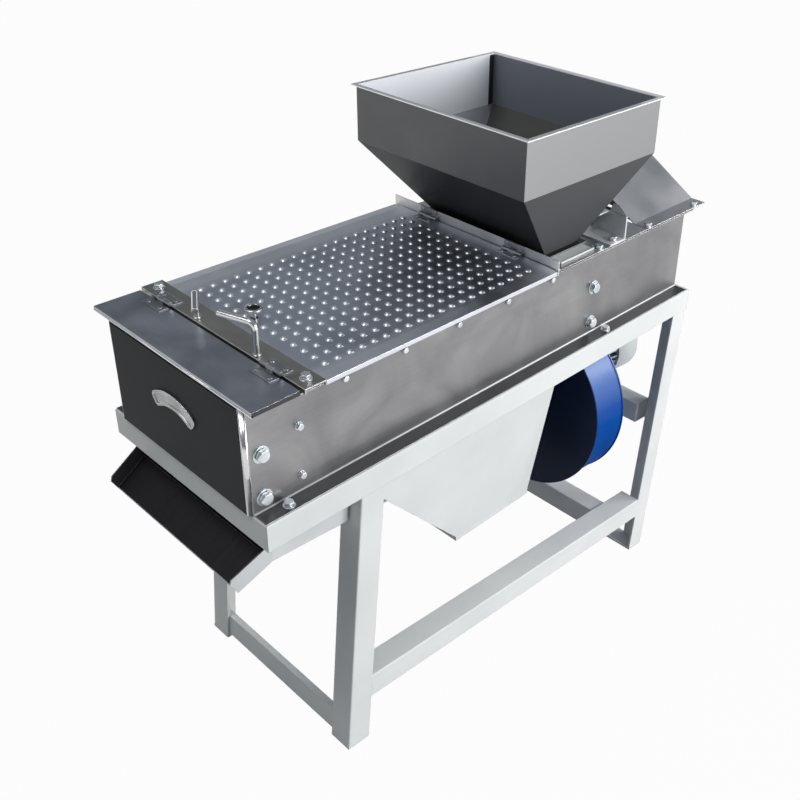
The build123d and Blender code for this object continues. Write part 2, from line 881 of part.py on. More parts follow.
def vane_rod(y, towards, turn, rise):
    """A bent rod with its vane. Closed, arm and vane point across to the side named in towards."""
    angle = radians(turn)
    ahead = (-sin(angle), towards * cos(angle))
    bottom = guide_block_low
    top = bar_top + rise
    tip = (rod_x + rod_arm * ahead[0], y + rod_arm * ahead[1], top)
    path = FilletPolyline((rod_x, y, bottom), (rod_x, y, top), tip, radius=rod_bend)
    body = sweep(Plane(path @ 0, z_dir=path % 0) * Circle(rod_radius), path=path)
    seat = bar_top + rod_seat_gap
    body += rod_along_z(rod_x, y, (seat, seat + rod_collar_height), rod_collar_radius)
    vane = block((-vane_thickness / 2, vane_thickness / 2), (0, vane_length), (vane_low, vane_high))
    heading = degrees(atan2(-ahead[0], ahead[1]))
    body += Pos(rod_x, y, 0) * Rot(0, 0, heading) * vane
    return on_bed(body)


# Hopper group


def hinge_strip():
    upright = block(
        (strip_front, strip_front + sheet),
        (-cover_half, cover_half),
        (base_top, panel_height + strip_height),
    )
    foot = block((strip_front, strip_front + strip_foot), (-base_half, base_half), (base_top, base_top + sheet))
    return on_bed(upright + foot)




def hopper_base_plate():
    """Plate that closes the box around the throat, with two raised guides for the gate."""
    plate = block((strip_front, base_rear), (-base_half, base_half), (panel_height, base_top))
    plate -= block(
        (throat_front, throat_rear), (-throat_half, throat_half), (panel_height - sheet, base_top)
    )
    guide_half = base_half - guide_end_inset
    for x in guide_x:
        plate += block(x, (-guide_half, guide_half), (base_top, flange_low))
    z = (panel_height - sheet, base_top + sheet)
    bolts = [(bracket_bolt_along, bracket_bolt_side), (base_bolt_along, base_bolt_side)]
    for side in (right, left):
        for x, y in bolts:
            plate -= rod_along_z(x, side * y, z, deck_bolt + hole_clearance)
    return on_bed(plate)


gate_x = (guide_x[0][1] + gate_side_clearance, guide_x[1][0] - gate_side_clearance)


def feed_gate():
    end = gate_end_inset - base_half
    grip_y = (end, end + sheet)
    plate = block(gate_x, (end, throat_half + gate_overrun), (gate_low, gate_high))
    return on_bed(plate + block(gate_x, grip_y, (gate_low, gate_low + gate_grip_height)))


def hopper_shell(skin):
    """The hopper's outline, drawn in by the thickness skin on every wall."""
    low = (
        (throat_front + skin, throat_rear - skin),
        (-throat_half + skin, throat_half - skin),
        flange_high,
    )
    fold = (
        (hopper_front + skin, hopper_rear - skin),
        (-hopper_half + skin, hopper_half - skin),
        hopper_fold,
    )
    return frustum(low, fold) + block(fold[0], fold[1], (hopper_fold, hopper_top))


def hopper():
    rim = block(
        (hopper_front - hopper_rim, hopper_rear + hopper_rim),
        (-hopper_half - hopper_rim, hopper_half + hopper_rim),
        (hopper_top - sheet, hopper_top),
    )
    flange = block(
        (throat_front - hopper_flange, throat_rear + hopper_flange),
        (-throat_half - hopper_flange, throat_half + hopper_flange),
        (flange_low, flange_high),
    )
    neck = block(
        (throat_front + sheet, throat_rear - sheet),
        (-throat_half + sheet, throat_half - sheet),
        (flange_low, flange_high),
    )
    return on_bed(hopper_shell(0) + rim + flange - hopper_shell(sheet) - neck)


def hopper_rear_face(z):
    """Place along the bed of the hopper's rear slope at height z."""
    share = (z - flange_high) / (hopper_fold - flange_high)
    return throat_rear + share * (hopper_rear - throat_rear)


def hopper_bracket(side):
    """Bent strap: a bolted foot, an upright, a tongue on to the hopper and an outer tab bent back."""
    low = base_top
    high = low + bracket_height
    thick = bracket_sheet
    y = span(side * bracket_inner, side * base_half)
    body = block((bracket_front, bracket_rear), y, (low, low + thick))
    body += block((bracket_rear - thick, bracket_rear), y, (low, high))
    tongue = [
        (hopper_rear_face(high - thick), high - thick),
        (hopper_rear_face(high), high),
        (bracket_rear, high),
        (bracket_rear, high - thick),
    ]
    tab_inner = base_half - bracket_tab_width
    body += side_prism(tongue, span(side * bracket_inner, side * (tab_inner - thick)))
    tab = [
        (tab_inner, 0),
        (tab_inner, bracket_tab_top),
        (base_half - bracket_tab_cut, bracket_tab_top),
        (base_half, 0),
    ]
    leaning = end_prism([(side * across, up) for across, up in tab], (-thick, 0))
    body += Pos(bracket_rear, 0, high) * Rot(0, bracket_bend, 0) * leaning
    z = (low - sheet, low + 2 * thick)
    hole = rod_along_z(bracket_bolt_along, side * bracket_bolt_side, z, deck_bolt + hole_clearance)
    return on_bed(body - hole)


def drive_hood():
    """Sheet roof over the drive: flat flanges, two slopes and a flat top."""
    low = panel_height
    high = low + sheet + hood_rise
    outside = [
        (-base_half, low),
        (-base_half, low + sheet),
        (-hood_half, low + sheet),
        (-hood_top_half, high),
        (hood_top_half, high),
        (hood_half, low + sheet),
        (base_half, low + sheet),
        (base_half, low),
    ]
    run = sheet * tan(radians(hood_slope) / 2)
    inside = [
        (-hood_half + run, low),
        (-hood_top_half + run, high - sheet),
        (hood_top_half - run, high - sheet),
        (hood_half - run, low),
    ]
    x = (hood_front, hood_rear)
    body = end_prism(outside, x) - end_prism(inside, x)
    for side in (right, left):
        for bolt_x in hood_bolt_along:
            z = (low - sheet, low + 2 * sheet)
            body -= rod_along_z(bolt_x, side * hood_bolt_side, z, deck_bolt + hole_clearance)
    return on_bed(body)


# Roller, bearings, trough


def bearing_beam(middle):
    x = (middle - beam_thickness / 2, middle + beam_thickness / 2)
    body = block(x, (-panel_inner, panel_inner), (beam_low, beam_high))
    body -= rod_along_x(x, 0, roller_height, shaft_hole_radius)
    for side in (right, left):
        tapped = span(side * (panel_half - beam_bolt_grip), side * panel_half)
        places = [(middle, z) for z in (beam_bolt_low, beam_bolt_high)]
        body -= side_holes(places, beam_bolt, side, tapped)
    return on_bed(body)


def shaft_bearings():
    """Two flanged bearing units, each on the rear face of its beam."""
    solids = []
    for middle in (front_beam_middle, rear_beam_middle):
        face = middle + beam_thickness / 2
        body = rod_along_x((face, face + bearing_depth), 0, roller_height, bearing_radius)
        bore = shaft_radius + shaft_clearance
        body -= rod_along_x((face, face + bearing_depth), 0, roller_height, bore)
        solids.append(on_bed(body))
    return group(solids)


def roller_shaft():
    return on_bed(rod_along_x((shaft_front, shaft_rear), 0, roller_height, shaft_radius))


def roller():
    """Abrasive sleeve on two end discs and hubs."""
    x = (roller_front, roller_rear)
    body = rod_along_x(x, 0, roller_height, roller_radius)
    hollow = (roller_front + hub_disc, roller_rear - hub_disc)
    space = rod_along_x(hollow, 0, roller_height, roller_radius - roller_skin)
    space -= rod_along_x(hollow, 0, roller_height, hub_radius)
    body -= space
    return on_bed(body - rod_along_x(x, 0, roller_height, shaft_radius))


def bulkhead(face, low):
    """Cross wall of the peeling chamber, with a tongue down between the rails under the trough."""
    x = (face, face + sheet)
    body = block(x, (-panel_inner, panel_inner), (sheet, panel_height - sheet))
    body += block(x, (-bulkhead_tongue_half, bulkhead_tongue_half), (low, 2 * sheet))
    return body - rod_along_x(x, 0, roller_height, shaft_hole_radius)


def front_bulkhead():
    body = bulkhead(bulkhead_front, bulkhead_low)
    x = (bulkhead_front - bulkhead_tab, bulkhead_front)
    for side in (right, left):
        y = span(side * (panel_inner - sheet), side * panel_inner)
        tab = block(x, y, (sheet, panel_height - sheet))
        body += tab - side_holes(small_bolt_places, small_bolt, side, y)
    wall = (bulkhead_front, bulkhead_front + sheet)
    for y, towards in ((rod_right_side, left), (rod_left_side, right)):
        start = y + towards * (vane_length - window_length) / 2
        window = span(start, start + towards * window_length)
        body -= block(wall, window, (window_low, window_high))
        lug_x = (rod_x - guide_block_half, bulkhead_front)
        lug_z = (guide_block_low, guide_block_low + guide_block_height)
        body += block(lug_x, (y - guide_block_half, y + guide_block_half), lug_z)
        body -= rod_along_z(rod_x, y, lug_z, rod_radius + rod_clearance)
    return on_bed(body)


def rear_chamber_wall():
    return on_bed(bulkhead(rear_bulkhead, bulkhead_low))


def peeling_trough():
    """Half-round sieve under the roller, with flat flanges at the roller's height."""
    x = (trough_front, rear_bulkhead)
    ring = rod_along_x(x, 0, roller_height, trough_outer) - rod_along_x(x, 0, roller_height, trough_inner)
    lower = block(x, (-trough_outer, trough_outer), (roller_height - trough_outer, roller_height))
    body = ring & lower
    for side in (right, left):
        y = span(side * trough_inner, side * (trough_outer + trough_flange))
        body += block(x, y, (roller_height - trough_sheet, roller_height))
    cuts = []
    for i in range(slot_count):
        start = slot_first + i * slot_pitch
        slot = block(
            (start, start + slot_length),
            (-slot_width / 2, slot_width / 2),
            (-trough_outer - trough_sheet, -trough_inner + trough_sheet),
        )
        cuts += [Pos(0, 0, roller_height) * Rot(angle, 0, 0) * slot for angle in slot_angles]
    return on_bed(body - cuts)


def guide_liners():
    """Sloping sheets from the side panels down to the trough's flanges."""
    solids = []
    foot_outer = trough_outer + trough_flange
    foot_inner = foot_outer - liner_foot
    x = (trough_front, rear_bulkhead)
    wall = panel_inner
    thin = trough_sheet
    for side in (right, left):
        points = [
            (foot_inner, roller_height),
            (foot_outer, roller_height),
            (wall, liner_fold),
            (wall, liner_top),
            (wall - thin, liner_top),
            (wall - thin, liner_fold + thin / 2),
            (foot_outer - thin, roller_height + thin),
            (foot_inner, roller_height + thin),
        ]
        body = end_prism([(side * y, z) for y, z in points], x)
        holes = span(side * (wall - 2 * thin), side * wall)
        body -= side_holes(edge_screw_places, edge_screw, side, holes)
        solids.append(on_bed(body))
    return group(solids)


# Roller drive

belt_x = (
    pulley_front + (pulley_width - belt_width) / 2,
    pulley_rear - (pulley_width - belt_width) / 2,
)


def pulley(y, z, radius, bore):
    """A flanged belt pulley, its groove as deep as the belt sits in it."""
    root = radius - belt_thickness + belt_proud
    body = rod_along_x((pulley_front, pulley_rear), y, z, radius)
    groove = rod_along_x((belt_x[0] - belt_gap, belt_x[1] + belt_gap), y, z, radius)
    groove -= rod_along_x((belt_x[0] - belt_gap, belt_x[1] + belt_gap), y, z, root)
    return body - groove - rod_along_x((pulley_front, pulley_rear), y, z, bore)


def roller_pulley():
    return on_bed(pulley(0, roller_height, roller_pulley_radius, shaft_radius))


def motor_pulley():
    """Motor pulley with the bare end of the motor shaft in it."""
    body = pulley(motor_side, motor_axis, motor_pulley_radius, motor_shaft_radius)
    shaft = (pulley_front, motor_front + motor_bell)
    return on_bed(body + rod_along_x(shaft, motor_side, motor_axis, motor_shaft_radius))


def belt_outline(depth):
    """Outline of the belt around both pulleys, depth above the pulley roots."""
    base = belt_thickness - belt_proud
    wheels = [
        Pos(0, roller_height) * Circle(roller_pulley_radius - base + depth),
        Pos(motor_side, motor_axis) * Circle(motor_pulley_radius - base + depth),
    ]
    return make_hull([edge for wheel in wheels for edge in wheel.edges()])


def drive_belt():
    face = Plane.YZ * (belt_outline(belt_gap + belt_thickness) - belt_outline(belt_gap))
    return on_bed(Pos(belt_x[0], 0, 0) * extrude(face, amount=belt_width, dir=(1, 0, 0)))


def drive_motor_plate():
    x = (middle_cross_front, rear_panel_face - motor_plate_gap)
    y = (motor_side - motor_plate_half, motor_side + motor_plate_half)
    return on_bed(block(x, y, (0, motor_plate)))


def finned_barrel(x, y, z, radius, fin):
    """Motor barrel with cooling fins along it."""
    body = rod_along_x(x, y, z, radius)
    for i in range(motor_fin_count):
        blade = block(x, (-motor_fin_thickness / 2, motor_fin_thickness / 2), (0, radius + fin))
        body += Pos(0, y, z) * Rot(360 * i / motor_fin_count, 0, 0) * blade
    return body


def drive_motor():
    """Finned motor on two feet, with its end bell, terminal box and shaft bore."""
    y, z = motor_side, motor_axis
    front = motor_front + motor_bell
    body = finned_barrel((front, motor_rear), y, z, motor_radius, motor_fin)
    body += rod_along_x((motor_front, front), y, z, motor_radius)
    middle = (front + motor_rear) / 2
    foot_x = (middle - motor_foot_length / 2, middle + motor_foot_length / 2)
    foot_y = (y - motor_foot_half, y + motor_foot_half)
    body += block(foot_x, foot_y, (motor_plate, motor_plate + motor_foot_thickness))
    body += block(foot_x, (y - motor_foot_half / 2, y + motor_foot_half / 2), (motor_plate, z))
    box_x = (middle - terminal_length / 2, middle + terminal_length / 2)
    box_y = (y - terminal_half, y + terminal_half)
    body += block(box_x, box_y, (z + motor_radius / 2, z + motor_radius + terminal_height))
    bore = motor_shaft_radius + shaft_clearance
    return on_bed(body - rod_along_x((motor_front, front + shaft_clearance), y, z, bore))


def drive_motor_cowl():
    x = (motor_rear, motor_rear + motor_cowl_length)
    return on_bed(rod_along_x(x, motor_side, motor_axis, motor_cowl_radius))


# Discharge chute


def chute_cheek():
    """Side outline of the chute: a nose that rises to the rails' top flanges, then along them."""
    rise = atan2(chute_knee_z - chute_tip_z, chute_knee_x - chute_tip_x)
    nose_x = chute_tip_x - sin(rise) * chute_wall
    nose_z = chute_tip_z + cos(rise) * chute_wall
    along = (upright_z(nose_x, -angle_wall) - nose_z) / (sin(rise) - cos(rise) * tan(slope))
    meet = nose_x + along * cos(rise)
    return [
        (chute_tip_x, chute_tip_z),
        (nose_x + sin(rise) * chute_nose_cut, nose_z - cos(rise) * chute_nose_cut),
        (nose_x + cos(rise) * chute_nose_cut, nose_z + sin(rise) * chute_nose_cut),
        (meet, upright_z(meet, -angle_wall)),
        (chute_rear_x, upright_z(chute_rear_x, -angle_wall)),
        (chute_rear_x, chute_rear_z),
        (chute_knee_x, chute_knee_z),
    ]


def chute_plan(skin):
    """The chute seen from above, drawn in by skin at both sides. It narrows towards the lip."""
    spread = (chute_half - chute_lip_half) / (chute_knee_x - chute_tip_x)
    side = [
        (chute_tip_x - chute_wall, chute_lip_half - spread * chute_wall - skin),
        (chute_knee_x, chute_half - skin),
        (chute_rear_x, chute_half - skin),
    ]
    return side + [(x, -y) for x, y in reversed(side)]


def discharge_chute():
    """Folded channel: floor with a steep nose, two cheeks up to the rails and a rear wall."""
    line = [(chute_tip_x, chute_tip_z), (chute_knee_x, chute_knee_z), (chute_rear_x, chute_rear_z)]
    above = [(x, z + chute_sheet) for x, z in reversed(line)]
    wide = (-chute_half, chute_half)
    z = (chute_tip_z, upright_z(chute_rear_x, 0))
    tray = plan_prism(chute_plan(0), z)
    body = side_prism(line + above, wide) & tray
    body += side_prism(chute_cheek(), wide) & (tray - plan_prism(chute_plan(chute_sheet), z))
    rear = (chute_rear_x - chute_sheet, chute_rear_x)
    top = upright_z(rear[0], -angle_width + chute_overlap)
    return body + block(rear, wide, (chute_rear_z, top))


# Skin hopper


def skin_shell(skin):
    low = skin_low + skin
    fold = skin_low + skin_lip
    floor_x = (skin_floor_front + skin, bed_x(skin_rear_x, skin_low) - skin)
    floor_y = (-skin_floor_half + skin, skin_floor_half - skin)
    rim_x = (skin_front + skin, bed_x(skin_rear_x, -angle_width) - skin)
    rim_y = (-inner_half + skin, inner_half - skin)
    funnel = frustum((floor_x, floor_y, fold), (rim_x, rim_y, -angle_width))
    rim = block(rim_x, rim_y, (-angle_width, -angle_wall))
    return block(floor_x, floor_y, (low, fold)) + funnel + rim


def skin_hopper():
    """Funnel hung by two lips under the rails' flanges. Its upright rear wall has the fan's inlet hole."""
    body = on_bed(skin_shell(0) - skin_shell(skin_sheet))
    lip_x = (skin_front, bed_x(skin_rear_x, -angle_width))
    lip_z = (-angle_wall - skin_sheet, -angle_wall)
    between = (skin_sheet - inner_half, inner_half - skin_sheet)
    body -= on_bed(block(lip_x, between, (skin_end_top, 0)))
    for side in (right, left):
        lip_y = span(side * (inner_half - skin_sheet), side * (inner_half + skin_rim_lip))
        body += on_bed(block(lip_x, lip_y, lip_z))
    near = (skin_rear_x - fan_front_x + skin_rear_x, fan_front_x)
    return body - rod_along_x(near, 0, fan_axis, inlet_radius - fan_sheet)


# Fan


def fan_outline(skin):
    """Scroll outline across the machine: a round case with a level spout at its foot."""
    radius = fan_radius + skin
    foot = fan_centre_z - radius
    top = fan_centre_z - fan_radius + spout_height + skin
    spout = Polygon(
        (fan_centre_y, foot), (spout_end, foot), (spout_end, top), (fan_centre_y, top), align=None
    )
    return Pos(fan_centre_y, fan_centre_z) * Circle(radius) + spout


def across(face, x):
    return Pos(x[0], 0, 0) * extrude(Plane.YZ * face, amount=x[1] - x[0], dir=(1, 0, 0))


def fan_inlet_duct():
    x = (skin_rear_x, fan_front_x)
    body = rod_along_x(x, 0, fan_axis, inlet_radius)
    return body - rod_along_x(x, 0, fan_axis, inlet_radius - fan_sheet)


def fan_front_plate():
    x = (fan_front_x, fan_front_x + fan_plate)
    plate = across(fan_outline(fan_front_flange), x)
    return plate - rod_along_x(x, 0, fan_axis, inlet_radius - fan_sheet)


def fan_housing():
    """Scroll wrap with its spout, outlet flange and back plate."""
    x = (fan_front_x + fan_plate, fan_back_x)
    wrap = across(fan_outline(0) - fan_outline(-fan_sheet), x)
    foot = fan_centre_z - fan_radius
    mouth_y = (spout_end - spout_flange, spout_end)
    mouth_x = (x[0] + fan_sheet, x[1] - fan_sheet)
    mouth_z = (foot + fan_sheet, foot + spout_height - fan_sheet)
    wrap -= block(x, (spout_end - 2 * fan_sheet, spout_end), mouth_z)
    back = across(fan_outline(fan_back_flange), (fan_back_x, fan_motor_x))
    back -= rod_along_x((fan_back_x, fan_motor_x), 0, fan_axis, fan_shaft_radius + spout_flange)
    margin = spout_flange_margin
    flange_x = (fan_front_x - margin, fan_motor_x + margin)
    flange_z = (foot - margin, foot + spout_height + margin)
    flange = block(flange_x, (spout_end, spout_end + spout_flange), flange_z)
    flange -= block(mouth_x, (spout_end, spout_end + spout_flange), mouth_z)
    inset = spout_hole_inset
    for hole_x in (flange_x[0] + inset, flange_x[1] - inset):
        for hole_z in (flange_z[0] + inset, flange_z[1] - inset):
            flange -= rod_along_y(hole_x, (spout_end, spout_end + spout_flange), hole_z, spout_hole_radius)
    return wrap + back + flange


def fan_impeller():
    """Paddle wheel on the fan motor's shaft."""
    rear = fan_back_x - impeller_gap
    front = rear - impeller_width
    body = rod_along_x((rear - impeller_disc, rear), 0, fan_axis, impeller_radius)
    body += rod_along_x((front, rear), 0, fan_axis, impeller_hub)
    for i in range(impeller_blades):
        blade = block((front, rear), (-impeller_blade / 2, impeller_blade / 2), (0, impeller_radius))
        body += Pos(0, 0, fan_axis) * Rot(360 * i / impeller_blades, 0, 0) * blade
    return body + rod_along_x((rear, fan_motor_x + motor_bell), 0, fan_axis, fan_shaft_radius)


def fan_motor_plate_piece():
    rear = fan_cowl_x - fan_motor_plate_gap
    x = (rear - fan_motor_plate_length, rear)
    z = (fan_cross_top, fan_cross_top + fan_motor_plate)
    return block(x, (-fan_motor_plate_half, fan_motor_plate_half), z)


def fan_motor():
    """Finned motor flanged to the fan's back plate, its feet on the plate over the rear cross."""
    x = (fan_motor_x, fan_cowl_x)
    body = finned_barrel(x, 0, fan_axis, fan_motor_radius, fan_motor_fin)
    middle = fan_cowl_x - fan_motor_plate_gap - fan_motor_plate_length / 2
    foot_x = (middle - fan_motor_foot_length / 2, middle + fan_motor_foot_length / 2)
    low = fan_cross_top + fan_motor_plate
    foot_y = (-fan_motor_foot_half, fan_motor_foot_half)
    body += block(foot_x, foot_y, (low, low + motor_foot_thickness))
    body += block(foot_x, (-fan_motor_foot_half / 2, fan_motor_foot_half / 2), (low, fan_axis))
    bore = fan_shaft_radius + shaft_clearance
    return body - rod_along_x((x[0], x[0] + motor_bell + shaft_clearance), 0, fan_axis, bore)


def fan_motor_cowl():
    x = (fan_cowl_x, fan_cowl_x + fan_motor_cowl_length)
    body = rod_along_x(x, 0, fan_axis, fan_motor_cowl_radius)
    rear_edge = body.edges().filter_by(GeomType.CIRCLE).sort_by(Axis.X)[-1]
    return fillet(rear_edge, fan_motor_cowl_round)


# Fasteners


def hex_bolt(radius, across_flats, head, grip, washer_radius):
    """Bolt along +Z: flat washer on the face at zero, spring washer, chamfered hexagon head, shank below."""
    seat = washer + spring_washer
    body = rod_along_z(0, 0, (-grip, seat), radius)
    body += rod_along_z(0, 0, (0, washer), washer_radius)
    body += rod_along_z(0, 0, (washer, seat), across_flats * spring_share)
    corner = across_flats / 2 / cos(pi / 6)
    turned = rod_along_z(0, 0, (seat, seat + head), corner)
    rim = turned.edges().filter_by(GeomType.CIRCLE).sort_by(Axis.Z)[-1]
    hexagon = Pos(0, 0, seat) * extrude(RegularPolygon(corner, 6), amount=head, dir=(0, 0, 1))
    return body + (hexagon & chamfer(rim, corner - across_flats * head_round_share))


def out_of_side(piece, side, x, z):
    """Turn a fastener to point out of a side panel's outer face."""
    return on_bed(Pos(x, side * panel_half, z) * Rot(-90 * side, 0, 0) * piece)


def panel_bolts():
    """Bolts out of both side panels: big ones of the bearing beams, small ones of the bulkhead and
    round-head edge screws of the liners."""
    beam = hex_bolt(beam_bolt, beam_bolt_across, beam_bolt_head, beam_bolt_grip, beam_bolt_washer)
    small = hex_bolt(small_bolt, small_bolt_across, small_bolt_head, small_bolt_grip, small_bolt_washer)
    head = rod_along_z(0, 0, (0, edge_screw_head_height), edge_screw_head)
    rim = head.edges().filter_by(GeomType.CIRCLE).sort_by(Axis.Z)[-1]
    screw = fillet(rim, edge_screw_round) + rod_along_z(0, 0, (-edge_screw_grip, 0), edge_screw)
    solids = []
    for side in (right, left):
        solids += [out_of_side(beam, side, x, z) for x, z in beam_bolt_places]
        solids += [out_of_side(small, side, x, z) for x, z in small_bolt_places]
        solids += [out_of_side(screw, side, x, z) for x, z in edge_screw_places]
    return group(solids)


def deck_bolts():
    """Upright bolts of the panels' feet, the top bar, the hood, the base plate and the hopper brackets."""
    solids = []
    for side in (right, left):
        places = [(x, flange_bolt_side, sheet, 2 * sheet) for x in flange_bolt_along]
        places += [(bar_bolt_along, bar_bolt_side, bar_top, bar_height + 2 * sheet)]
        places += [(x, hood_bolt_side, panel_height + sheet, 3 * sheet) for x in hood_bolt_along]
        bracket_top = base_top + bracket_sheet
        places += [(bracket_bolt_along, bracket_bolt_side, bracket_top, bracket_sheet + 2 * sheet)]
        places += [(base_bolt_along, base_bolt_side, base_top, 2 * sheet)]
        for x, y, z, grip in places:
            bolt = hex_bolt(deck_bolt, deck_bolt_across, deck_bolt_head, grip, deck_bolt_washer)
            solids.append(on_bed(Pos(x, side * y, z) * bolt))
    return group(solids)


nodes = {
    "top_rail_right": top_rail(right),
    "top_rail_left": top_rail(left),
    "top_cross_front": top_end_cross(0),
    "top_cross_rear": top_end_cross(1),
    "top_cross_middle": top_middle_cross(),
    "leg_front_right": leg(right, front_leg_x, -1),
    "leg_front_left": leg(left, front_leg_x, -1),
    "leg_rear_right": leg(right, rear_leg_x, 1),
    "leg_rear_left": leg(left, rear_leg_x, 1),
    "lower_rail_right": lower_rail(right),
    "lower_rail_left": lower_rail(left),
    "lower_cross": lower_cross(),
    "foot_bars": foot_bars(),
    "fan_motor_cross": fan_cross(),
    "side_panel_right": side_panel(right),
    "side_panel_left": side_panel(left),
    "front_end_panel": front_end_panel(),
    "crescent_plate": crescent_plate(),
    "rear_end_panel": rear_end_panel(),
    "top_bar": top_bar(),
    "front_lid": front_lid(),
    "lid_hinge_leaves": lid_hinge_leaves(),
    "fixed_hinge_leaves": fixed_hinge_leaves(),
    "screen_cover": screen_cover(),
    "cover_hinge_leaves": cover_hinge_leaves(),
    "cover_knob": cover_knob(),
    "vane_rod_right": vane_rod(rod_right_side, left, rod_right_angle, rod_right_rise),
    "vane_rod_left": vane_rod(rod_left_side, right, rod_left_angle, rod_left_rise),
    "hinge_strip": hinge_strip(),
    "hopper_base_plate": hopper_base_plate(),
    "feed_gate": feed_gate(),
    "hopper": hopper(),
    "hopper_brackets": group(hopper_bracket(side) for side in (right, left)),
    "drive_hood": drive_hood(),
    "front_bearing_beam": bearing_beam(front_beam_middle),
    "rear_bearing_beam": bearing_beam(rear_beam_middle),
    "shaft_bearings": shaft_bearings(),
    "roller_shaft": roller_shaft(),
    "roller": roller(),
    "front_bulkhead": front_bulkhead(),
    "rear_chamber_wall": rear_chamber_wall(),
    "peeling_trough": peeling_trough(),
    "guide_liners": guide_liners(),
    "roller_pulley": roller_pulley(),
    "motor_pulley": motor_pulley(),
    "drive_belt": drive_belt(),
    "drive_motor_plate": drive_motor_plate(),
    "drive_motor": drive_motor(),
    "drive_motor_cowl": drive_motor_cowl(),
    "discharge_chute": discharge_chute(),
    "skin_hopper": skin_hopper(),
    "fan_inlet_duct": fan_inlet_duct(),
    "fan_front_plate": fan_front_plate(),
    "fan_housing": fan_housing(),
    "fan_impeller": fan_impeller(),
    "fan_motor_plate": fan_motor_plate_piece(),
    "fan_motor": fan_motor(),
    "fan_motor_cowl": fan_motor_cowl(),
    "panel_bolts": panel_bolts(),
    "deck_bolts": deck_bolts(),
}

# The part's origin is under the middle of its length, on the floor.
ends = [piece.bounding_box() for piece in nodes.values()]
middle_x = (min(box.min.X for box in ends) + max(box.max.X for box in ends)) / 2
os.makedirs("parts", exist_ok=True)
for name, piece in nodes.items():
    export_step(Pos(-middle_x, 0, 0) * piece, f"parts/{name}.step")
print("pieces", len(nodes), "middle", round(middle_x, 3))
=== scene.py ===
# %% [markdown]
# A dry peanut peeler, dressed for its picture. The solids come from the CAD model and stay where they are.
# This file gives each of them the finish of the real thing, adds the small traces of making that a solid
# model leaves out, such as weld beads, bend lines and the rolled hem of the lid, and sets up floor, lamps and
# camera.

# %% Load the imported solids
import math

import bpy
from mathutils import Matrix, Vector


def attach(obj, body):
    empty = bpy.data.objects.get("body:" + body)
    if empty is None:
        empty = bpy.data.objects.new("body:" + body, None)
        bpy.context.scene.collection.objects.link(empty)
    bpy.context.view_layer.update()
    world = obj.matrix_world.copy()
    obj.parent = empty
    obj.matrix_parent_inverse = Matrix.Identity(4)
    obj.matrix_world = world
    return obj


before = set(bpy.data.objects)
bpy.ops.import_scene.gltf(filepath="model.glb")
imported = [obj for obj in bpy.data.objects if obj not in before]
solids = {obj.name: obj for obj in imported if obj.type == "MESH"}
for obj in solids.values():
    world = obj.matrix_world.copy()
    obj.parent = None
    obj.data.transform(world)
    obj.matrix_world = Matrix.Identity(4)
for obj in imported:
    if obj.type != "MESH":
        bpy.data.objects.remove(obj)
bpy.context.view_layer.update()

# %% [markdown]
# Lengths below are written in millimetres, the way a workshop drawing gives them, and turned to metres where
# Blender needs them. The bed of the machine slopes by five degrees. A matrix turns bed places (along from the
# front edge, across, up from the rails) into places of the model, and a second function does the same for
# the upright pieces, whose heights count from the floor. Patterns are laid out on a bed that is turned level,
# and a third function gives places there.

# %% Places on the machine
MM = 0.001
SLOPE = math.radians(5.0)
FRONT_EDGE = Vector((-0.538994, 0.0, 0.546))
bed_turn = Matrix.Rotation(-SLOPE, 3, "Y")


def on_bed(along, across, up):
    """A place on the sloping bed, in millimetres, as a point of the model in metres."""
    return FRONT_EDGE + bed_turn @ Vector((along * MM, across * MM, up * MM))


def upright(along, across, height):
    """A place of the upright pieces, in millimetres from the front edge and the floor."""
    return Vector((FRONT_EDGE.x + along * MM, across * MM, height * MM))


def levelled(along, across, up):
    """A place on the bed, after the bed has been turned level about the model's origin."""
    return bed_turn.transposed() @ on_bed(along, across, up)


bed_up = bed_turn @ Vector((0, 0, 1))
print("front edge", [round(v, 4) for v in on_bed(0, 0, 0)], "bed up", [round(v, 4) for v in bed_up])

# %% [markdown]
# Every finish is a small node tree. Colours are the sRGB hex values one would read off a paint chart, and one
# function turns them to the linear numbers that the renderer works in. A second function adds a node, sets
# its values and joins its inputs in one call, so that a whole finish reads as a short list from top to
# bottom. The others are steps that most finishes share: laying one colour over another, and asking a face
# where it points.

# %% Colour and node helpers


def linear(code):
    """sRGB hex to linear red, green, blue and alpha."""
    parts = [int(code[i:i + 2], 16) / 255 for i in (1, 3, 5)]
    return [c / 12.92 if c <= 0.04045 else ((c + 0.055) / 1.055) ** 2.4 for c in parts] + [1.0]


def add(tree, kind, settings=None, links=None, ramp=None):
    """Add one node: settings name its properties or sockets, links join its sockets to other outputs."""
    made = tree.nodes.new("ShaderNode" + kind)
    for key, value in (settings or {}).items():
        if key in made.bl_rna.properties.keys():
            setattr(made, key, value)
        else:
            made.inputs[key].default_value = value
    for key, source in (links or {}).items():
        tree.links.new(source, made.inputs[key])
    for stop, (position, colour) in zip(made.color_ramp.elements if ramp else [], ramp or []):
        stop.position, stop.color = position, linear(colour)
    return made


def finish(name, settings):
    """A new material with its shader's constant values set. Returns tree, shader and object coordinates."""
    material = bpy.data.materials.new(name)
    material.use_nodes = True
    tree = material.node_tree
    shader = tree.nodes["Principled BSDF"]
    for key, value in settings.items():
        shader.inputs[key].default_value = value
    finishes[name] = material
    return tree, shader, add(tree, "TexCoord").outputs["Object"]


def join(tree, shader, sources):
    """Join the outputs in sources to the shader's sockets."""
    for socket, source in sources.items():
        tree.links.new(source, shader.inputs[socket])


def per_metre(size_mm):
    """Texture scale that repeats about once in size_mm."""
    return 1000.0 / size_mm


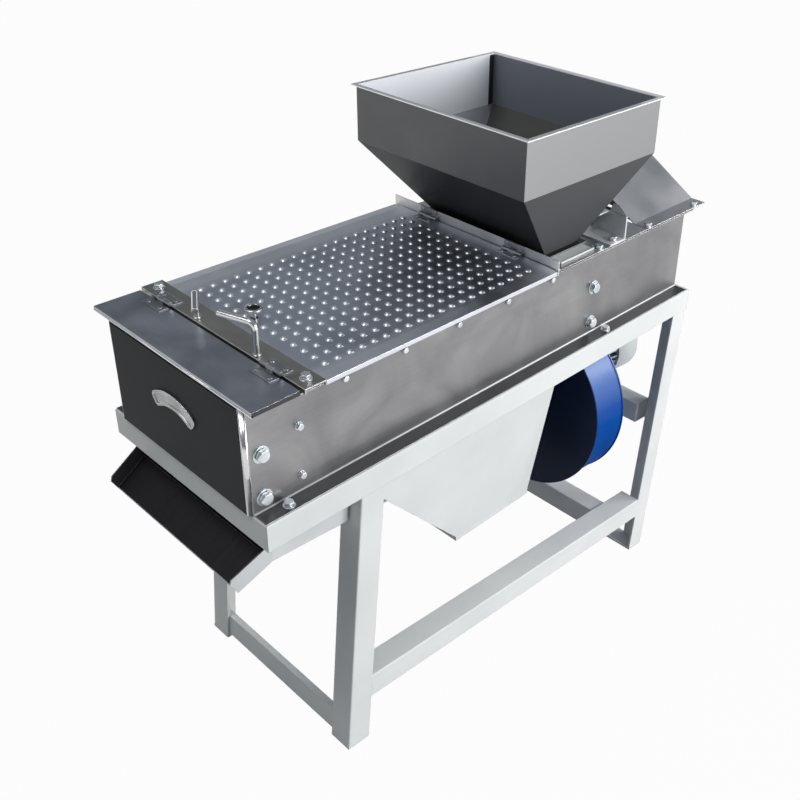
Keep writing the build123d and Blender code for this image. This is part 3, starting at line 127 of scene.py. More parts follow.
def blend(tree, below, colour, mask):
    """Lay a colour over another where the mask is 1."""
    return add(tree, "Mix", {"data_type": "RGBA", 7: linear(colour)}, {0: mask, 6: below}).outputs[2]


def two_tone(tree, cloud, dark, pale):
    """The two colours of a coat, spread by a cloud of noise."""
    return add(tree, "ValToRGB", None, {"Fac": cloud.outputs[0]}, [(0.35, dark), (0.65, pale)]).outputs[0]


def face_way(tree):
    """Where the face points, along, across and up."""
    return add(tree, "SeparateXYZ", None, {0: add(tree, "NewGeometry").outputs["Normal"]}).outputs


def face_up(tree):
    """How far the face points up, measured square to the bed."""
    face = add(tree, "NewGeometry").outputs["Normal"]
    return add(tree, "VectorMath", {"operation": "DOT_PRODUCT", 1: bed_up}, {0: face}).outputs["Value"]


finishes = {}

# %% [markdown]
# Edges tell the eye what a thing is made of. A sprayed edge is rounded and a little darker. On bare metal the
# mask lays a near-white painted highlight along the edges. The Bevel node gives a normal that bends near
# edges, and where it parts from the true normal there is an edge. One function returns that bent normal and a
# mask of it, for all finishes.

# %% Edge mask


def edges(tree, radius_mm, share):
    """The rounded normal near edges of that radius, and a mask: share on the edge and 0 away from it."""
    bent = add(tree, "Bevel", {"Radius": radius_mm * MM}).outputs[0]
    face = add(tree, "NewGeometry").outputs["Normal"]
    agree = add(tree, "VectorMath", {"operation": "DOT_PRODUCT"}, {0: bent, 1: face})
    mask = add(tree, "MapRange", {"From Min": 0.9990, "From Max": 0.90, "To Max": share},
               {"Value": agree.outputs["Value"]})
    return bent, mask.outputs[0]


# %% [markdown]
# The frame is mild steel angle under white stoving enamel. Sprayed enamel dries with a faint orange peel of a
# few millimetres, and handling leaves it a little greyer in patches a hand wide. Clouds of noise give both,
# and the edge mask thins the coat on the corners. The same recipe, with other colours, serves every paint on
# the machine.

# %% Sprayed enamel


def enamel(name, base, worn, roughness, gleam, edge_share):
    """Sprayed paint: base colour, greyer shade in patches and on edges, mean roughness, mirror share."""
    tree, shader, place = finish(name, {"Specular IOR Level": gleam})
    cloud = add(tree, "TexNoise", {"Scale": per_metre(170), "Detail": 3.0}, {"Vector": place})
    peel = add(tree, "TexNoise", {"Scale": per_metre(3.5), "Detail": 2.0}, {"Vector": place})
    bent, edge = edges(tree, 1.4, edge_share)
    tint = add(tree, "ValToRGB", None, {"Fac": cloud.outputs[0]}, [(0.35, worn), (0.62, base)])
    paint = blend(tree, tint.outputs[0], worn, edge)
    gloss = add(tree, "MapRange", {"To Min": roughness + 0.07, "To Max": roughness - 0.07},
                {"Value": cloud.outputs[0]})
    skin = add(tree, "Bump", {"Strength": 0.05, "Distance": 0.3 * MM},
               {"Height": peel.outputs[0], "Normal": bent})
    join(tree, shader, {"Base Color": paint, "Roughness": gloss.outputs[0], "Normal": skin.outputs[0]})
    return tree, shader, place, paint


enamel("white_enamel", "#e5e7e6", "#dcdfdf", 0.42, 0.25, 0.4)
enamel("charcoal_paint", "#2b2e2f", "#363a3a", 0.55, 0.08, 0.8)
# The fan's front plate wears a darker copy of the fan blue: painted shade on the face turned from the light.
enamel("fan_blue_shaded_enamel", "#071327", "#16243f", 0.40, 0.08, 0.6)
enamel("motor_grey_enamel", "#8f9599", "#767c80", 0.45, 0.4, 0.5)
print("paints", list(finishes))

# %% [markdown]
# The fan's blue paint is glossy near the bed and dusty towards the floor, so the top of the scroll shines and
# the foot stays deep and matt. A pale blue laid over the top of the scroll is a painted highlight. The height
# above the floor, in metres, sets all three.

# %% Fan paint
tree, shader, place, paint = enamel("fan_blue_enamel", "#04408f", "#0a4b9c", 0.30, 0.2, 0.3)
height = add(tree, "SeparateXYZ", None, {0: place}).outputs[2]
clean = add(tree, "MapRange", {"From Min": 0.40, "From Max": 0.5, "To Min": 0.02, "To Max": 0.5},
            {"Value": height})
gloss = add(tree, "MapRange", {"From Min": 0.40, "From Max": 0.5, "To Min": 0.6, "To Max": 0.3},
            {"Value": height})
# Pale blue over the top of the scroll: painted highlight.
top_highlight = add(tree, "MapRange", {"From Min": 0.43, "From Max": 0.54, "To Max": 0.7}, {"Value": height})
join(tree, shader, {"Base Color": blend(tree, paint, "#7d9fe0", top_highlight.outputs[0]),
                    "Specular IOR Level": clean.outputs[0], "Roughness": gloss.outputs[0]})
print("fan paint nodes", len(tree.nodes))

# %% [markdown]
# The fan motor has cooling fins: the paint on their tips is pale, and the grooves between them are painted
# dark as painted shade, told apart by the distance from the motor's axis.

# %% Finned motor paint
FAN_AXIS_HEIGHT = 428
FIN_TIP, FIN_FOOT = 59.5, 56.5


def fan_axis_distance(tree, place):
    """Distance of a place from the fan motor's axis."""
    off = add(tree, "VectorMath", {"operation": "SUBTRACT", 1: upright(0, 0, FAN_AXIS_HEIGHT)}, {0: place})
    flat = add(tree, "VectorMath", {"operation": "MULTIPLY", 1: (0.0, 1.0, 1.0)}, {0: off.outputs[0]})
    return add(tree, "VectorMath", {"operation": "LENGTH"}, {0: flat.outputs[0]}).outputs["Value"]


tree, shader, place = finish("finned_motor_enamel", {"Roughness": 0.45})
cloud = add(tree, "TexNoise", {"Scale": per_metre(40), "Detail": 3.0}, {"Vector": place})
# Grooves between the fins painted dark: painted shade.
groove_shade = add(tree, "MapRange", {"From Min": FIN_TIP * MM, "From Max": FIN_FOOT * MM},
           {"Value": fan_axis_distance(tree, place)})
tip = two_tone(tree, cloud, "#c8cdcf", "#dde1e2")
join(tree, shader, {"Base Color": blend(tree, tip, "#1a1c1d", groove_shade.outputs[0])})
print("paints", len(finishes))

# %% [markdown]
# The box, lid, cover and hopper are cold rolled stainless sheet with a brushed finish. Brushing scratches the
# sheet along one direction: noise that is stretched far along it stands for that. Real scratches are a tenth
# of a millimetre wide. Here they are drawn at 1.6 mm, so that they still show at this picture size. Wiped
# smears a hand wide change the roughness, which makes such sheet look alive. The edges carry a near-white
# painted highlight.

# %% Brushed metal


def brushed(name, base, dull, roughness, along, edge_mm, edge_share):
    """Bare metal brushed along x, y or z of the bed: bright and dull colour, mean roughness, painted edge
    highlight.
    """
    tree, shader, place = finish(name, {"Metallic": 1.0})
    turned = add(tree, "Mapping", {"Rotation": (0.0, SLOPE, 0.0)}, {"Vector": place}).outputs[0]
    fine, long = per_metre(1.6), per_metre(140)
    stretch = [long if axis == along else fine for axis in "xyz"]
    lines = add(tree, "Mapping", {"Scale": stretch}, {"Vector": turned})
    brush = add(tree, "TexNoise", {"Scale": 1.0, "Detail": 3.0, "Roughness": 0.6},
                {"Vector": lines.outputs[0]})
    smear = add(tree, "TexNoise", {"Scale": per_metre(110), "Detail": 5.0, "Distortion": 0.8},
                {"Vector": turned})
    bent, edge = edges(tree, edge_mm, edge_share)
    tint = add(tree, "ValToRGB", None, {"Fac": smear.outputs[0]}, [(0.3, dull), (0.7, base)])
    grain = add(tree, "Mix", {"data_type": "RGBA", 0: 0.12, "blend_type": "OVERLAY"},
                {6: tint.outputs[0], 7: brush.outputs[0]})
    # Near-white on the edges: painted highlight.
    edge_highlighted = blend(tree, grain.outputs[2], "#f2f3f4", edge)
    both = add(tree, "Math", {"operation": "MULTIPLY_ADD", 1: 0.5},
               {0: brush.outputs[0], 2: smear.outputs[0]})
    gloss = add(tree, "MapRange", {"From Min": 0.5, "From Max": 1.0, "To Min": roughness - 0.06,
                                   "To Max": roughness + 0.08}, {"Value": both.outputs[0]})
    scratch = add(tree, "Bump", {"Strength": 0.05, "Distance": 0.04 * MM},
                  {"Height": brush.outputs[0], "Normal": bent})
    join(tree, shader, {"Base Color": edge_highlighted, "Roughness": gloss.outputs[0], "Normal": scratch.outputs[0]})
    return tree, shader, turned, edge_highlighted


brushed("stainless_hood", "#d8d8da", "#c2c2c5", 0.40, "y", 1.3, 0.9)
brushed("stainless_plate", "#d4d5d6", "#bcbdbe", 0.42, "y", 1.1, 0.9)
brushed("hinge_steel", "#a0a3a8", "#8a8d92", 0.34, "y", 0.8, 0.8)
brushed("olive_bar_steel", "#a2a29d", "#8b8b86", 0.40, "y", 1.6, 0.95)
brushed("plain_bar_steel", "#7a7a7c", "#68686a", 0.45, "y", 1.1, 0.3)
brushed("polished_steel", "#dcdcdc", "#c8c8c8", 0.16, "z", 1.1, 0.6)
print("metals", len(finishes))

# %% [markdown]
# The lid is handled all day. Its level top is wiped and carries long soft streaks, while the turned-down side
# lips are painted dark between two bright edges, a painted shade. The way the face points across the machine
# tells lip from top.

# %% Lid sheet
tree, shader, turned, edge_highlighted = brushed("stainless_lid", "#a9aeb8", "#8b9099", 0.34, "y", 1.3, 0.95)
aside = add(tree, "Math", {"operation": "ABSOLUTE"}, {0: face_way(tree)[1]})
shaded_lip = add(tree, "MapRange", {"From Min": 0.97, "From Max": 0.995}, {"Value": aside.outputs[0]})
# Side lips painted dark: painted shade.
join(tree, shader, {"Base Color": blend(tree, edge_highlighted, "#4c4d50", shaded_lip.outputs[0])})
print("lid nodes", len(tree.nodes))

# %% [markdown]
# The cover's knob is a turned steel mushroom with a black insert pressed into its dished top. The distance
# from the knob's own axis, square to the bed, marks the insert, and a face that looks up keeps it off the
# stem.

# %% Knob with its insert
KNOB_ALONG, KNOB_ACROSS, INSERT_RADIUS = 141.7, 3.0, 9.6


def beside_axis(tree, turned, axis):
    """The way from an axis square to the bed to a place, without its height."""
    off = add(tree, "VectorMath", {"operation": "SUBTRACT", 1: axis}, {0: turned})
    flat = add(tree, "VectorMath", {"operation": "MULTIPLY", 1: (1.0, 1.0, 0.0)}, {0: off.outputs[0]})
    return flat.outputs[0]


tree, shader, turned, edge_highlighted = brushed("knob_steel", "#c9cacc", "#b5b6b9", 0.2, "y", 0.8, 0.9)
flat = beside_axis(tree, turned, levelled(KNOB_ALONG, KNOB_ACROSS, 0))
away = add(tree, "VectorMath", {"operation": "LENGTH"}, {0: flat})
near = add(tree, "Math", {"operation": "LESS_THAN", 1: INSERT_RADIUS * MM}, {0: away.outputs["Value"]})
upward = add(tree, "Math", {"operation": "GREATER_THAN", 1: 0.95}, {0: face_up(tree)})
insert = add(tree, "Math", {"operation": "MULTIPLY"}, {0: near.outputs[0], 1: upward.outputs[0]})
join(tree, shader, {"Base Color": blend(tree, edge_highlighted, "#2a2b2d", insert.outputs[0])})
print("knob nodes", len(tree.nodes))

# %% [markdown]
# The dimples of the cover were pressed up by a round punch. The domes are painted paler, a painted highlight.
# Height above the flat sheet, measured square to the bed, tells dome from sheet. The plain margins beside the
# field of dimples are drawn brighter. Their place across the machine marks them, with a soft border.

# %% Dimpled cover sheet
COVER_TOP = 188
FIELD_LEFT, FIELD_RIGHT = 128, -160
SOFT_LEFT, SOFT_RIGHT = 30, 14
tree, shader, turned, edge_highlighted = brushed("stainless_cover", "#c4c9d4", "#b0b5c1", 0.36, "y", 1.3, 0.95)
sheet_level = levelled(0, 0, COVER_TOP).z
where = add(tree, "SeparateXYZ", None, {0: turned}).outputs
dome_highlight = add(tree, "MapRange", {"From Min": sheet_level + 0.3 * MM, "From Max": sheet_level + 2.4 * MM},
            {"Value": where[2]})
to_left = add(tree, "MapRange", {"From Min": FIELD_LEFT * MM, "From Max": (FIELD_LEFT + SOFT_LEFT) * MM,
                                 "To Max": 0.7}, {"Value": where[1]})
to_right = add(tree, "MapRange", {"From Min": FIELD_RIGHT * MM, "From Max": (FIELD_RIGHT - SOFT_RIGHT) * MM,
                                  "To Max": 0.6}, {"Value": where[1]})
margin = add(tree, "Math", {"operation": "MAXIMUM"}, {0: to_left.outputs[0], 1: to_right.outputs[0]})
bright = blend(tree, edge_highlighted, "#f0f2f8", margin.outputs[0])
# Paler domes: painted highlight.
join(tree, shader, {"Base Color": blend(tree, bright, "#e2e5ea", dome_highlight.outputs[0])})
print("sheet level", round(sheet_level, 4))

# %% [markdown]
# The hopper's tones are lit and shaded copies of one sheet. Masks come from the way a face points: up or
# down, along or across the machine, and towards the hopper's own axis or away from it. Outside faces turned
# right are painted lighter, faces turned forward, the slopes that look up and the faces turned down are
# painted darker, the inside has its own tone and the left wall inside is painted pale: painted light and
# painted shade. The inside is rougher, a satin, and under the slopes the metal's mirror share is taken down,
# as painted shade too. The rolled rim carries a near-white painted highlight, and a strip in the rear left
# corner inside is drawn dark.

# %% Hopper sheet
HOPPER_MIDDLE, RIM_LOW, SEAM_ALONG = 684, 431.2, 160
tree, shader, turned, edge_highlighted = brushed("stainless_hopper", "#8a8b8d", "#77797c", 0.44, "y", 2.0, 0.95)
face = add(tree, "NewGeometry").outputs["Normal"]
aim = face_way(tree)
up_share = face_up(tree)
# Faces turned down are painted darker: painted shade.
underside_shade = add(tree, "MapRange", {"From Min": -0.1, "From Max": -0.22}, {"Value": up_share}).outputs[0]
slope_shade = add(tree, "MapRange", {"From Min": 0.3, "From Max": 0.5}, {"Value": up_share}).outputs[0]
front_face_shade = add(tree, "MapRange", {"From Min": -0.9, "From Max": -0.98, "To Max": 0.8}, {"Value": aim[0]})
to_right = add(tree, "MapRange", {"From Min": -0.9, "From Max": -0.98}, {"Value": aim[1]}).outputs[0]
flat = beside_axis(tree, turned, levelled(HOPPER_MIDDLE, 0, 0))
outward = add(tree, "VectorMath", {"operation": "DOT_PRODUCT"}, {0: flat, 1: face})
inside = add(tree, "Math", {"operation": "LESS_THAN", 1: -0.01}, {0: outward.outputs["Value"]}).outputs[0]
paler_walls = add(tree, "Math", {"operation": "MULTIPLY"}, {0: inside, 1: to_right}).outputs[0]
right_face_light = add(tree, "Math", {"operation": "SUBTRACT", "use_clamp": True},
                  {0: to_right, 1: inside}).outputs[0]
low_right_shade = add(tree, "Math", {"operation": "MULTIPLY"}, {0: right_face_light, 1: underside_shade}).outputs[0]
along = add(tree, "SeparateXYZ", None, {0: flat}).outputs[0]
corner = add(tree, "Math", {"operation": "GREATER_THAN", 1: SEAM_ALONG * MM}, {0: along})
seam = add(tree, "Math", {"operation": "MULTIPLY"}, {0: paler_walls, 1: corner.outputs[0]}).outputs[0]
height = add(tree, "SeparateXYZ", None, {0: turned}).outputs[2]
rim_highlight = add(tree, "Math", {"operation": "GREATER_THAN", 1: levelled(0, 0, RIM_LOW).z}, {0: height})
# Tones by facing are painted light and painted shade; the rim tone is a painted highlight.
coat = blend(tree, edge_highlighted, "#4f5052", front_face_shade.outputs[0])
layers = [("#9a9b9c", right_face_light), ("#3b3c3e", underside_shade), ("#66676a", low_right_shade), ("#8e929b", inside),
          ("#f2f4f8", paler_walls), ("#565755", slope_shade), ("#3c3c40", seam), ("#f0f1f2", rim_highlight.outputs[0])]
for colour, mask in layers:
    coat = blend(tree, coat, colour, mask)
gloss = add(tree, "MapRange", {"To Min": 0.42, "To Max": 0.68}, {"Value": inside})
# Less metal and mirror on faces turned down: painted shade.
metallic_share = add(tree, "MapRange", {"To Min": 1.0, "To Max": 0.1}, {"Value": underside_shade})
sheen = add(tree, "MapRange", {"To Min": 0.5, "To Max": 0.05}, {"Value": underside_shade})
join(tree, shader, {"Base Color": coat, "Roughness": gloss.outputs[0], "Metallic": metallic_share.outputs[0],
                    "Specular IOR Level": sheen.outputs[0]})
print("hopper sheet nodes", len(tree.nodes))

# %% [markdown]
# Bolts and brackets are zinc plated. New zinc is a pale, slightly blue metal with a matt bloom, so part of
# its light is scattered like paint and part is mirrored. Clouds of 25 mm vary the bloom. The bent brackets
# were plated in a barrel and came out matt, so more of their light is scattered. The edges carry a near-white
# painted highlight.

# %% Zinc plating


def zinc(name, metal_share, dark, pale, edge_share, smooth, matt):
    """Zinc plating: its mirrored share, two tones of the bloom, painted edge highlight and range of
    roughness.
    """
    tree, shader, place = finish(name, {"Metallic": metal_share})
    cloud = add(tree, "TexNoise", {"Scale": per_metre(25), "Detail": 4.0}, {"Vector": place})
    bent, edge = edges(tree, 0.9, edge_share)
    # Near-white on the edges: painted highlight.
    bright = blend(tree, two_tone(tree, cloud, dark, pale), "#fafbfb", edge)
    gloss = add(tree, "MapRange", {"To Min": smooth, "To Max": matt}, {"Value": cloud.outputs[0]})
    join(tree, shader, {"Base Color": bright, "Roughness": gloss.outputs[0], "Normal": bent})


zinc("zinc_plating", 0.9, "#ccd3d8", "#e4e9ec", 0.8, 0.2, 0.36)
zinc("matt_zinc", 0.35, "#e2e6e7", "#f0f2f2", 0.9, 0.34, 0.5)
print("finishes so far", len(finishes))

# %% [markdown]
# The side panels stand upright and have a flange folded outwards at the foot. The level flange is painted
# darker than the upright web, a painted shade. How far the face points up, measured square to the bed, tells
# the two apart.

# %% Side panel sheet
tree, shader, turned, edge_highlighted = brushed("stainless_side", "#9c9c9d", "#858587", 0.38, "x", 1.1, 0.9)
flange_shade = add(tree, "MapRange", {"From Min": 0.6, "From Max": 0.95, "To Max": 0.75}, {"Value": face_up(tree)})
# Level flange painted darker: painted shade.
join(tree, shader, {"Base Color": blend(tree, edge_highlighted, "#4b4c4d", flange_shade.outputs[0])})
print("side sheet nodes", len(tree.nodes))

# %% [markdown]
# The chute is folded from sheet, light grey outside and black inside, where a slippery coat lets the peanuts
# slide. Inside and outside are two sides of the same solid, so the finish asks each face where it points: a
# face that looks up, or across towards the middle of the machine, is inside. The nuts rub the cheeks greyer.

# %% Chute: grey outside, black slide coat inside
tree, shader, place = finish("chute_coat", {"Specular IOR Level": 0.15})
cloud = add(tree, "TexNoise", {"Scale": per_metre(90), "Detail": 4.0}, {"Vector": place})
streak_scale = (per_metre(160), per_metre(6), per_metre(160))
streak_way = add(tree, "Mapping", {"Scale": streak_scale}, {"Vector": place})
streak = add(tree, "TexNoise", {"Scale": 1.0, "Detail": 2.0}, {"Vector": streak_way.outputs[0]})
bent, edge = edges(tree, 1.2, 0.9)
aim = face_way(tree)
across = add(tree, "SeparateXYZ", None, {0: place}).outputs[1]
inward = add(tree, "Math", {"operation": "MULTIPLY"}, {0: aim[1], 1: across})
is_cheek = add(tree, "Math", {"operation": "LESS_THAN", 1: -0.05}, {0: inward.outputs[0]})
is_floor = add(tree, "Math", {"operation": "GREATER_THAN", 1: 0.3}, {0: aim[2]})
is_inside = add(tree, "Math", {"operation": "MAXIMUM"}, {0: is_cheek.outputs[0], 1: is_floor.outputs[0]})
outside = two_tone(tree, cloud, "#d0d3d4", "#dcdfe0")
slide = add(tree, "ValToRGB", None, {"Fac": streak.outputs[0]}, [(0.3, "#221f22"), (0.75, "#282529")])
coat = add(tree, "Mix", {"data_type": "RGBA"}, {0: is_inside.outputs[0], 6: outside, 7: slide.outputs[0]})
paler_walls = blend(tree, coat.outputs[2], "#5c5a5b", is_cheek.outputs[0])
gloss = add(tree, "MapRange", {"To Min": 0.34, "To Max": 0.5}, {"Value": cloud.outputs[0]})
join(tree, shader, {"Base Color": blend(tree, paler_walls, "#c9cbcc", edge), "Roughness": gloss.outputs[0],
                    "Normal": bent})
print("chute nodes", len(tree.nodes))

# %% [markdown]
# The bright plate on the end panel was turned on a lathe before it was cut to a crescent, so its tool lines
# run in circles about a point below it. Rings of the distance from that point, 2 mm apart, give the lines.

# %% Turned crescent plate
tree, shader, place = finish("turned_steel", {"Metallic": 1.0})
centre = on_bed(-4.5, 0, 28)
away = add(tree, "VectorMath", {"operation": "DISTANCE", 1: centre}, {0: place})
rings = add(tree, "Math", {"operation": "MULTIPLY", 1: 2 * math.pi * per_metre(2.0)},
            {0: away.outputs["Value"]})
wave = add(tree, "Math", {"operation": "SINE"}, {0: rings.outputs[0]})
rub = add(tree, "TexNoise", {"Scale": per_metre(25), "Detail": 3.0}, {"Vector": place})
bent, edge = edges(tree, 1.2, 0.9)
# Near-white on the edges: painted highlight.
bright = blend(tree, two_tone(tree, rub, "#8a8c8c", "#a6a8a8"), "#f4f4f4", edge)
gloss = add(tree, "MapRange", {"From Min": -1.0, "To Min": 0.2, "To Max": 0.42}, {"Value": wave.outputs[0]})
cut = add(tree, "Bump", {"Strength": 0.25, "Distance": 0.1 * MM}, {"Height": wave.outputs[0], "Normal": bent})
join(tree, shader, {"Base Color": bright, "Roughness": gloss.outputs[0], "Normal": cut.outputs[0]})
print("crescent centre", [round(v, 4) for v in centre])

# %% [markdown]
# The motor cowl is moulded plastic with a fine spark-eroded grain. Its closed end has rings of air slots
# about the motor's axis, painted as dark bands of shade where the face points backwards, 7 mm apart.

# %% Moulded motor cowl
tree, shader, place = finish("moulded_cowl_plastic", {"IOR": 1.46})
away = fan_axis_distance(tree, place)
turns = add(tree, "Math", {"operation": "MULTIPLY", 1: per_metre(7)}, {0: away})
step = add(tree, "Math", {"operation": "FRACT"}, {0: turns.outputs[0]})
gap = add(tree, "Math", {"operation": "GREATER_THAN", 1: 0.55}, {0: step.outputs[0]})
within = add(tree, "Math", {"operation": "LESS_THAN", 1: 48 * MM}, {0: away})
rearward = add(tree, "Math", {"operation": "GREATER_THAN", 1: 0.98}, {0: face_way(tree)[0]})
ring = add(tree, "Math", {"operation": "MULTIPLY"}, {0: gap.outputs[0], 1: within.outputs[0]})
slot_shade = add(tree, "Math", {"operation": "MULTIPLY"}, {0: ring.outputs[0], 1: rearward.outputs[0]})
cloud = add(tree, "TexNoise", {"Scale": per_metre(60), "Detail": 3.0}, {"Vector": place})
spark = add(tree, "TexNoise", {"Scale": per_metre(1.2), "Detail": 2.0}, {"Vector": place})
# Air slots painted as dark bands: painted shade.
slotted = blend(tree, two_tone(tree, cloud, "#babec0", "#c9cdcf"), "#18191a", slot_shade.outputs[0])
gloss = add(tree, "MapRange", {"To Min": 0.42, "To Max": 0.56}, {"Value": cloud.outputs[0]})
grain = add(tree, "Bump", {"Strength": 0.08, "Distance": 0.1 * MM}, {"Height": spark.outputs[0]})
join(tree, shader, {"Base Color": slotted, "Roughness": gloss.outputs[0], "Normal": grain.outputs[0]})
print("cowl nodes", len(tree.nodes))

# %% [markdown]
# Four grainy surfaces are left. Grey cast iron has a sand-cast skin of about 2 mm grains. The roller carries
# emery grit, drawn at 3 mm where the real grit is near 2 mm. The belt is rubber with the weave of its cover,
# about 1 mm. The fourth is a near-white matt coat on the bend lines, a painted highlight along the folds.
# Each is noise of that size in the bump, with dark hollows and paler tips.

# %% Cast iron, emery, rubber and the painted fold highlight


def grainy(name, tip, hollow, grain_mm, height_mm, roughness):
    """A rough surface of grains: paler tips, darker hollows, grain size and height."""
    tree, shader, place = finish(name, {"Roughness": roughness})
    grain = add(tree, "TexNoise", {"Scale": per_metre(grain_mm), "Detail": 4.0}, {"Vector": place})
    tint = add(tree, "ValToRGB", None, {"Fac": grain.outputs[0]}, [(0.38, hollow), (0.62, tip)])
    relief = add(tree, "Bump", {"Strength": 0.5, "Distance": height_mm * MM}, {"Height": grain.outputs[0]})
    join(tree, shader, {"Base Color": tint.outputs[0], "Normal": relief.outputs[0]})


grainy("grey_cast_iron", "#58595b", "#3b3c3e", 2.0, 0.3, 0.6)
grainy("emery_grit", "#6a625b", "#38332f", 3.0, 1.0, 0.9)
grainy("belt_rubber", "#262626", "#151515", 1.0, 0.2, 0.75)
# Near-white matt coat of the bend lines: painted highlight.
grainy("painted_fold_highlight", "#fafafa", "#e4e5e6", 1.0, 0.05, 0.5)
print("finishes", len(finishes))

# %% [markdown]
# Now each solid gets its finish. The list reads like a parts list sorted by surface treatment.

# %% Give the solids their finishes
wearing = {
    "white_enamel": [
        "top_rail_right", "top_rail_left", "top_cross_front", "top_cross_rear", "top_cross_middle",
        "leg_front_right", "leg_front_left", "leg_rear_right", "leg_rear_left", "lower_rail_right",
        "lower_rail_left", "lower_cross", "foot_bars", "fan_motor_cross", "skin_hopper", "drive_motor_plate",
        "fan_motor_plate", "feed_gate",
    ],
    "stainless_side": ["side_panel_right", "side_panel_left", "rear_end_panel", "front_bulkhead",
                       "rear_chamber_wall", "peeling_trough", "guide_liners"],
    "stainless_lid": ["front_lid"],
    "stainless_cover": ["screen_cover"],
    "stainless_plate": ["hinge_strip", "hopper_base_plate"],
    "hinge_steel": ["fixed_hinge_leaves", "lid_hinge_leaves", "cover_hinge_leaves"],
    "stainless_hopper": ["hopper"],
    "stainless_hood": ["drive_hood"],
    "polished_steel": ["vane_rod_right", "vane_rod_left", "roller_shaft"],
    "knob_steel": ["cover_knob"],
    "turned_steel": ["crescent_plate"],
    "zinc_plating": ["panel_bolts", "deck_bolts"],
    "matt_zinc": ["hopper_brackets"],
    "olive_bar_steel": ["top_bar"],
    "plain_bar_steel": ["front_bearing_beam", "rear_bearing_beam", "fan_impeller"],
    "charcoal_paint": ["front_end_panel"],
    "fan_blue_enamel": ["fan_housing", "fan_inlet_duct"],
    "fan_blue_shaded_enamel": ["fan_front_plate"],
    "motor_grey_enamel": ["drive_motor"],
    "finned_motor_enamel": ["fan_motor"],
    "moulded_cowl_plastic": ["drive_motor_cowl", "fan_motor_cowl"],
    "grey_cast_iron": ["shaft_bearings", "roller_pulley", "motor_pulley"],
    "emery_grit": ["roller"],
    "belt_rubber": ["drive_belt"],
    "chute_coat": ["discharge_chute"],
}
for name, group in wearing.items():
    for node in group:
        solids[node].data.materials.clear()
        solids[node].data.materials.append(finishes[name])
undressed = set(solids) - {node for group in wearing.values() for node in group}
print("dressed", len(solids) - len(undressed), "undressed", sorted(undressed))

# %% [markdown]
# The frame is welded. A fillet weld sits in the corner between two faces as a rippled quarter-round bead: the
# welder moves on a few millimetres between pulses, and each pulse leaves a ripple. One mesh function sweeps a
# quarter circle along the corner and lets its radius swell and shrink along the way. The same function
# without ripple gives the small bend radius of folded sheet.

# %% Beads along corners


def bead(runs, radius_mm, ripple, pitch_mm):
    """Points and faces of quarter-round beads. Each run: two end points and the two faces' normals."""
    points, faces = [], []
    arc = 6
    for start, end, one, two in runs:
        length = (end - start).length
        steps = max(2, int(length / (pitch_mm * MM) * 4)) if ripple else 2
        first = len(points)
        for i in range(steps + 1):
            at = start.lerp(end, i / steps)
            swell = 1 + ripple * math.sin(2 * math.pi * i / 4)
            points.append(at)
            for k in range(arc + 1):
                turn = math.pi / 2 * k / arc
                points.append(at + (one * math.cos(turn) + two * math.sin(turn)) * radius_mm * MM * swell)
        ring = arc + 2
        for i in range(steps):
            low, high = first + i * ring, first + (i + 1) * ring
            for k in range(ring):
                after = (k + 1) % ring
                faces.append((low + k, low + after, high + after, high + k))
        faces.append(tuple(range(first + ring - 1, first - 1, -1)))
        faces.append(tuple(range(first + steps * ring, first + (steps + 1) * ring)))
    return points, faces


def tube_faces(first, ring):
    """Faces between two rings of points that follow each other, counted from first."""
    return [(first + k, first + (k + 1) % ring, first + ring + (k + 1) % ring, first + ring + k)
            for k in range(ring)]


def piece(name, points, faces, body, look, smooth):
    """A mesh piece that rides on a body and wears a finish."""
    mesh = bpy.data.meshes.new(name)
    mesh.from_pydata([tuple(point) for point in points], [], faces)
    mesh.validate()
    made = bpy.data.objects.new(name, mesh)
    bpy.context.scene.collection.objects.link(made)
    for polygon in mesh.polygons:
        polygon.use_smooth = smooth
    mesh.materials.append(finishes[look])
    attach(made, body)


ahead, behind = Vector((-1, 0, 0)), Vector((1, 0, 0))
up, down = Vector((0, 0, 1)), Vector((0, 0, -1))

# %% [markdown]
# The corners that the welder reached: the lower cross under the lower rails' flanges, the fan cross between
# the rear legs' flanges, and the front foot bar behind the front legs' flanges. Places are those of the
# angles.

# %% Frame welds
FLANGE, INNER = 195.5, 155
LEG_FRONT, LEG_REAR, ANGLE, WALL = 171, 995.03, 45, 4.5
CROSS_FRONT, CROSS_TOP, FAN_CROSS_TOP = 887.03, 132.5, 361
FOOT_LOW, FOOT_TOP, FOOT_THICK = 10, 51, 12
leg_back, foot_front = LEG_REAR + ANGLE, LEG_FRONT + WALL
foot_back = foot_front + FOOT_THICK
runs = []
for side in (-1, 1):
    inside = Vector((0, -side, 0))
    inner, flange = side * INNER, side * FLANGE
    for along, way in ((CROSS_FRONT, ahead), (CROSS_FRONT + ANGLE, behind)):
        runs.append((upright(along, inner, CROSS_TOP), upright(along, flange, CROSS_TOP), way, down))
    for height, way in ((FAN_CROSS_TOP, up), (FAN_CROSS_TOP - ANGLE, down)):
        runs.append((upright(leg_back - WALL, inner, height), upright(leg_back, inner, height), way, inside))
    runs.append((upright(foot_front, inner, FOOT_TOP), upright(foot_front, flange, FOOT_TOP), behind, up))
    runs.append((upright(foot_back, flange, FOOT_LOW), upright(foot_back, flange, FOOT_TOP - 1),
                 behind, inside))
points, faces = bead(runs, 2.4, 0.16, 4.0)
piece("frame_welds", points, faces, "base", "white_enamel", True)
print("weld runs", len(runs), "faces", len(faces))

# %% [markdown]
# The fan cross is a square tube. Its open ends are closed by thin pressed caps, so that no skins collect in
# it. A cap is a square dish: a skirt in the mouth of the tube, a flat rim, and a middle that stands proud of
# the rim by half a millimetre. Rings of a square with round corners, each a little smaller, make it.

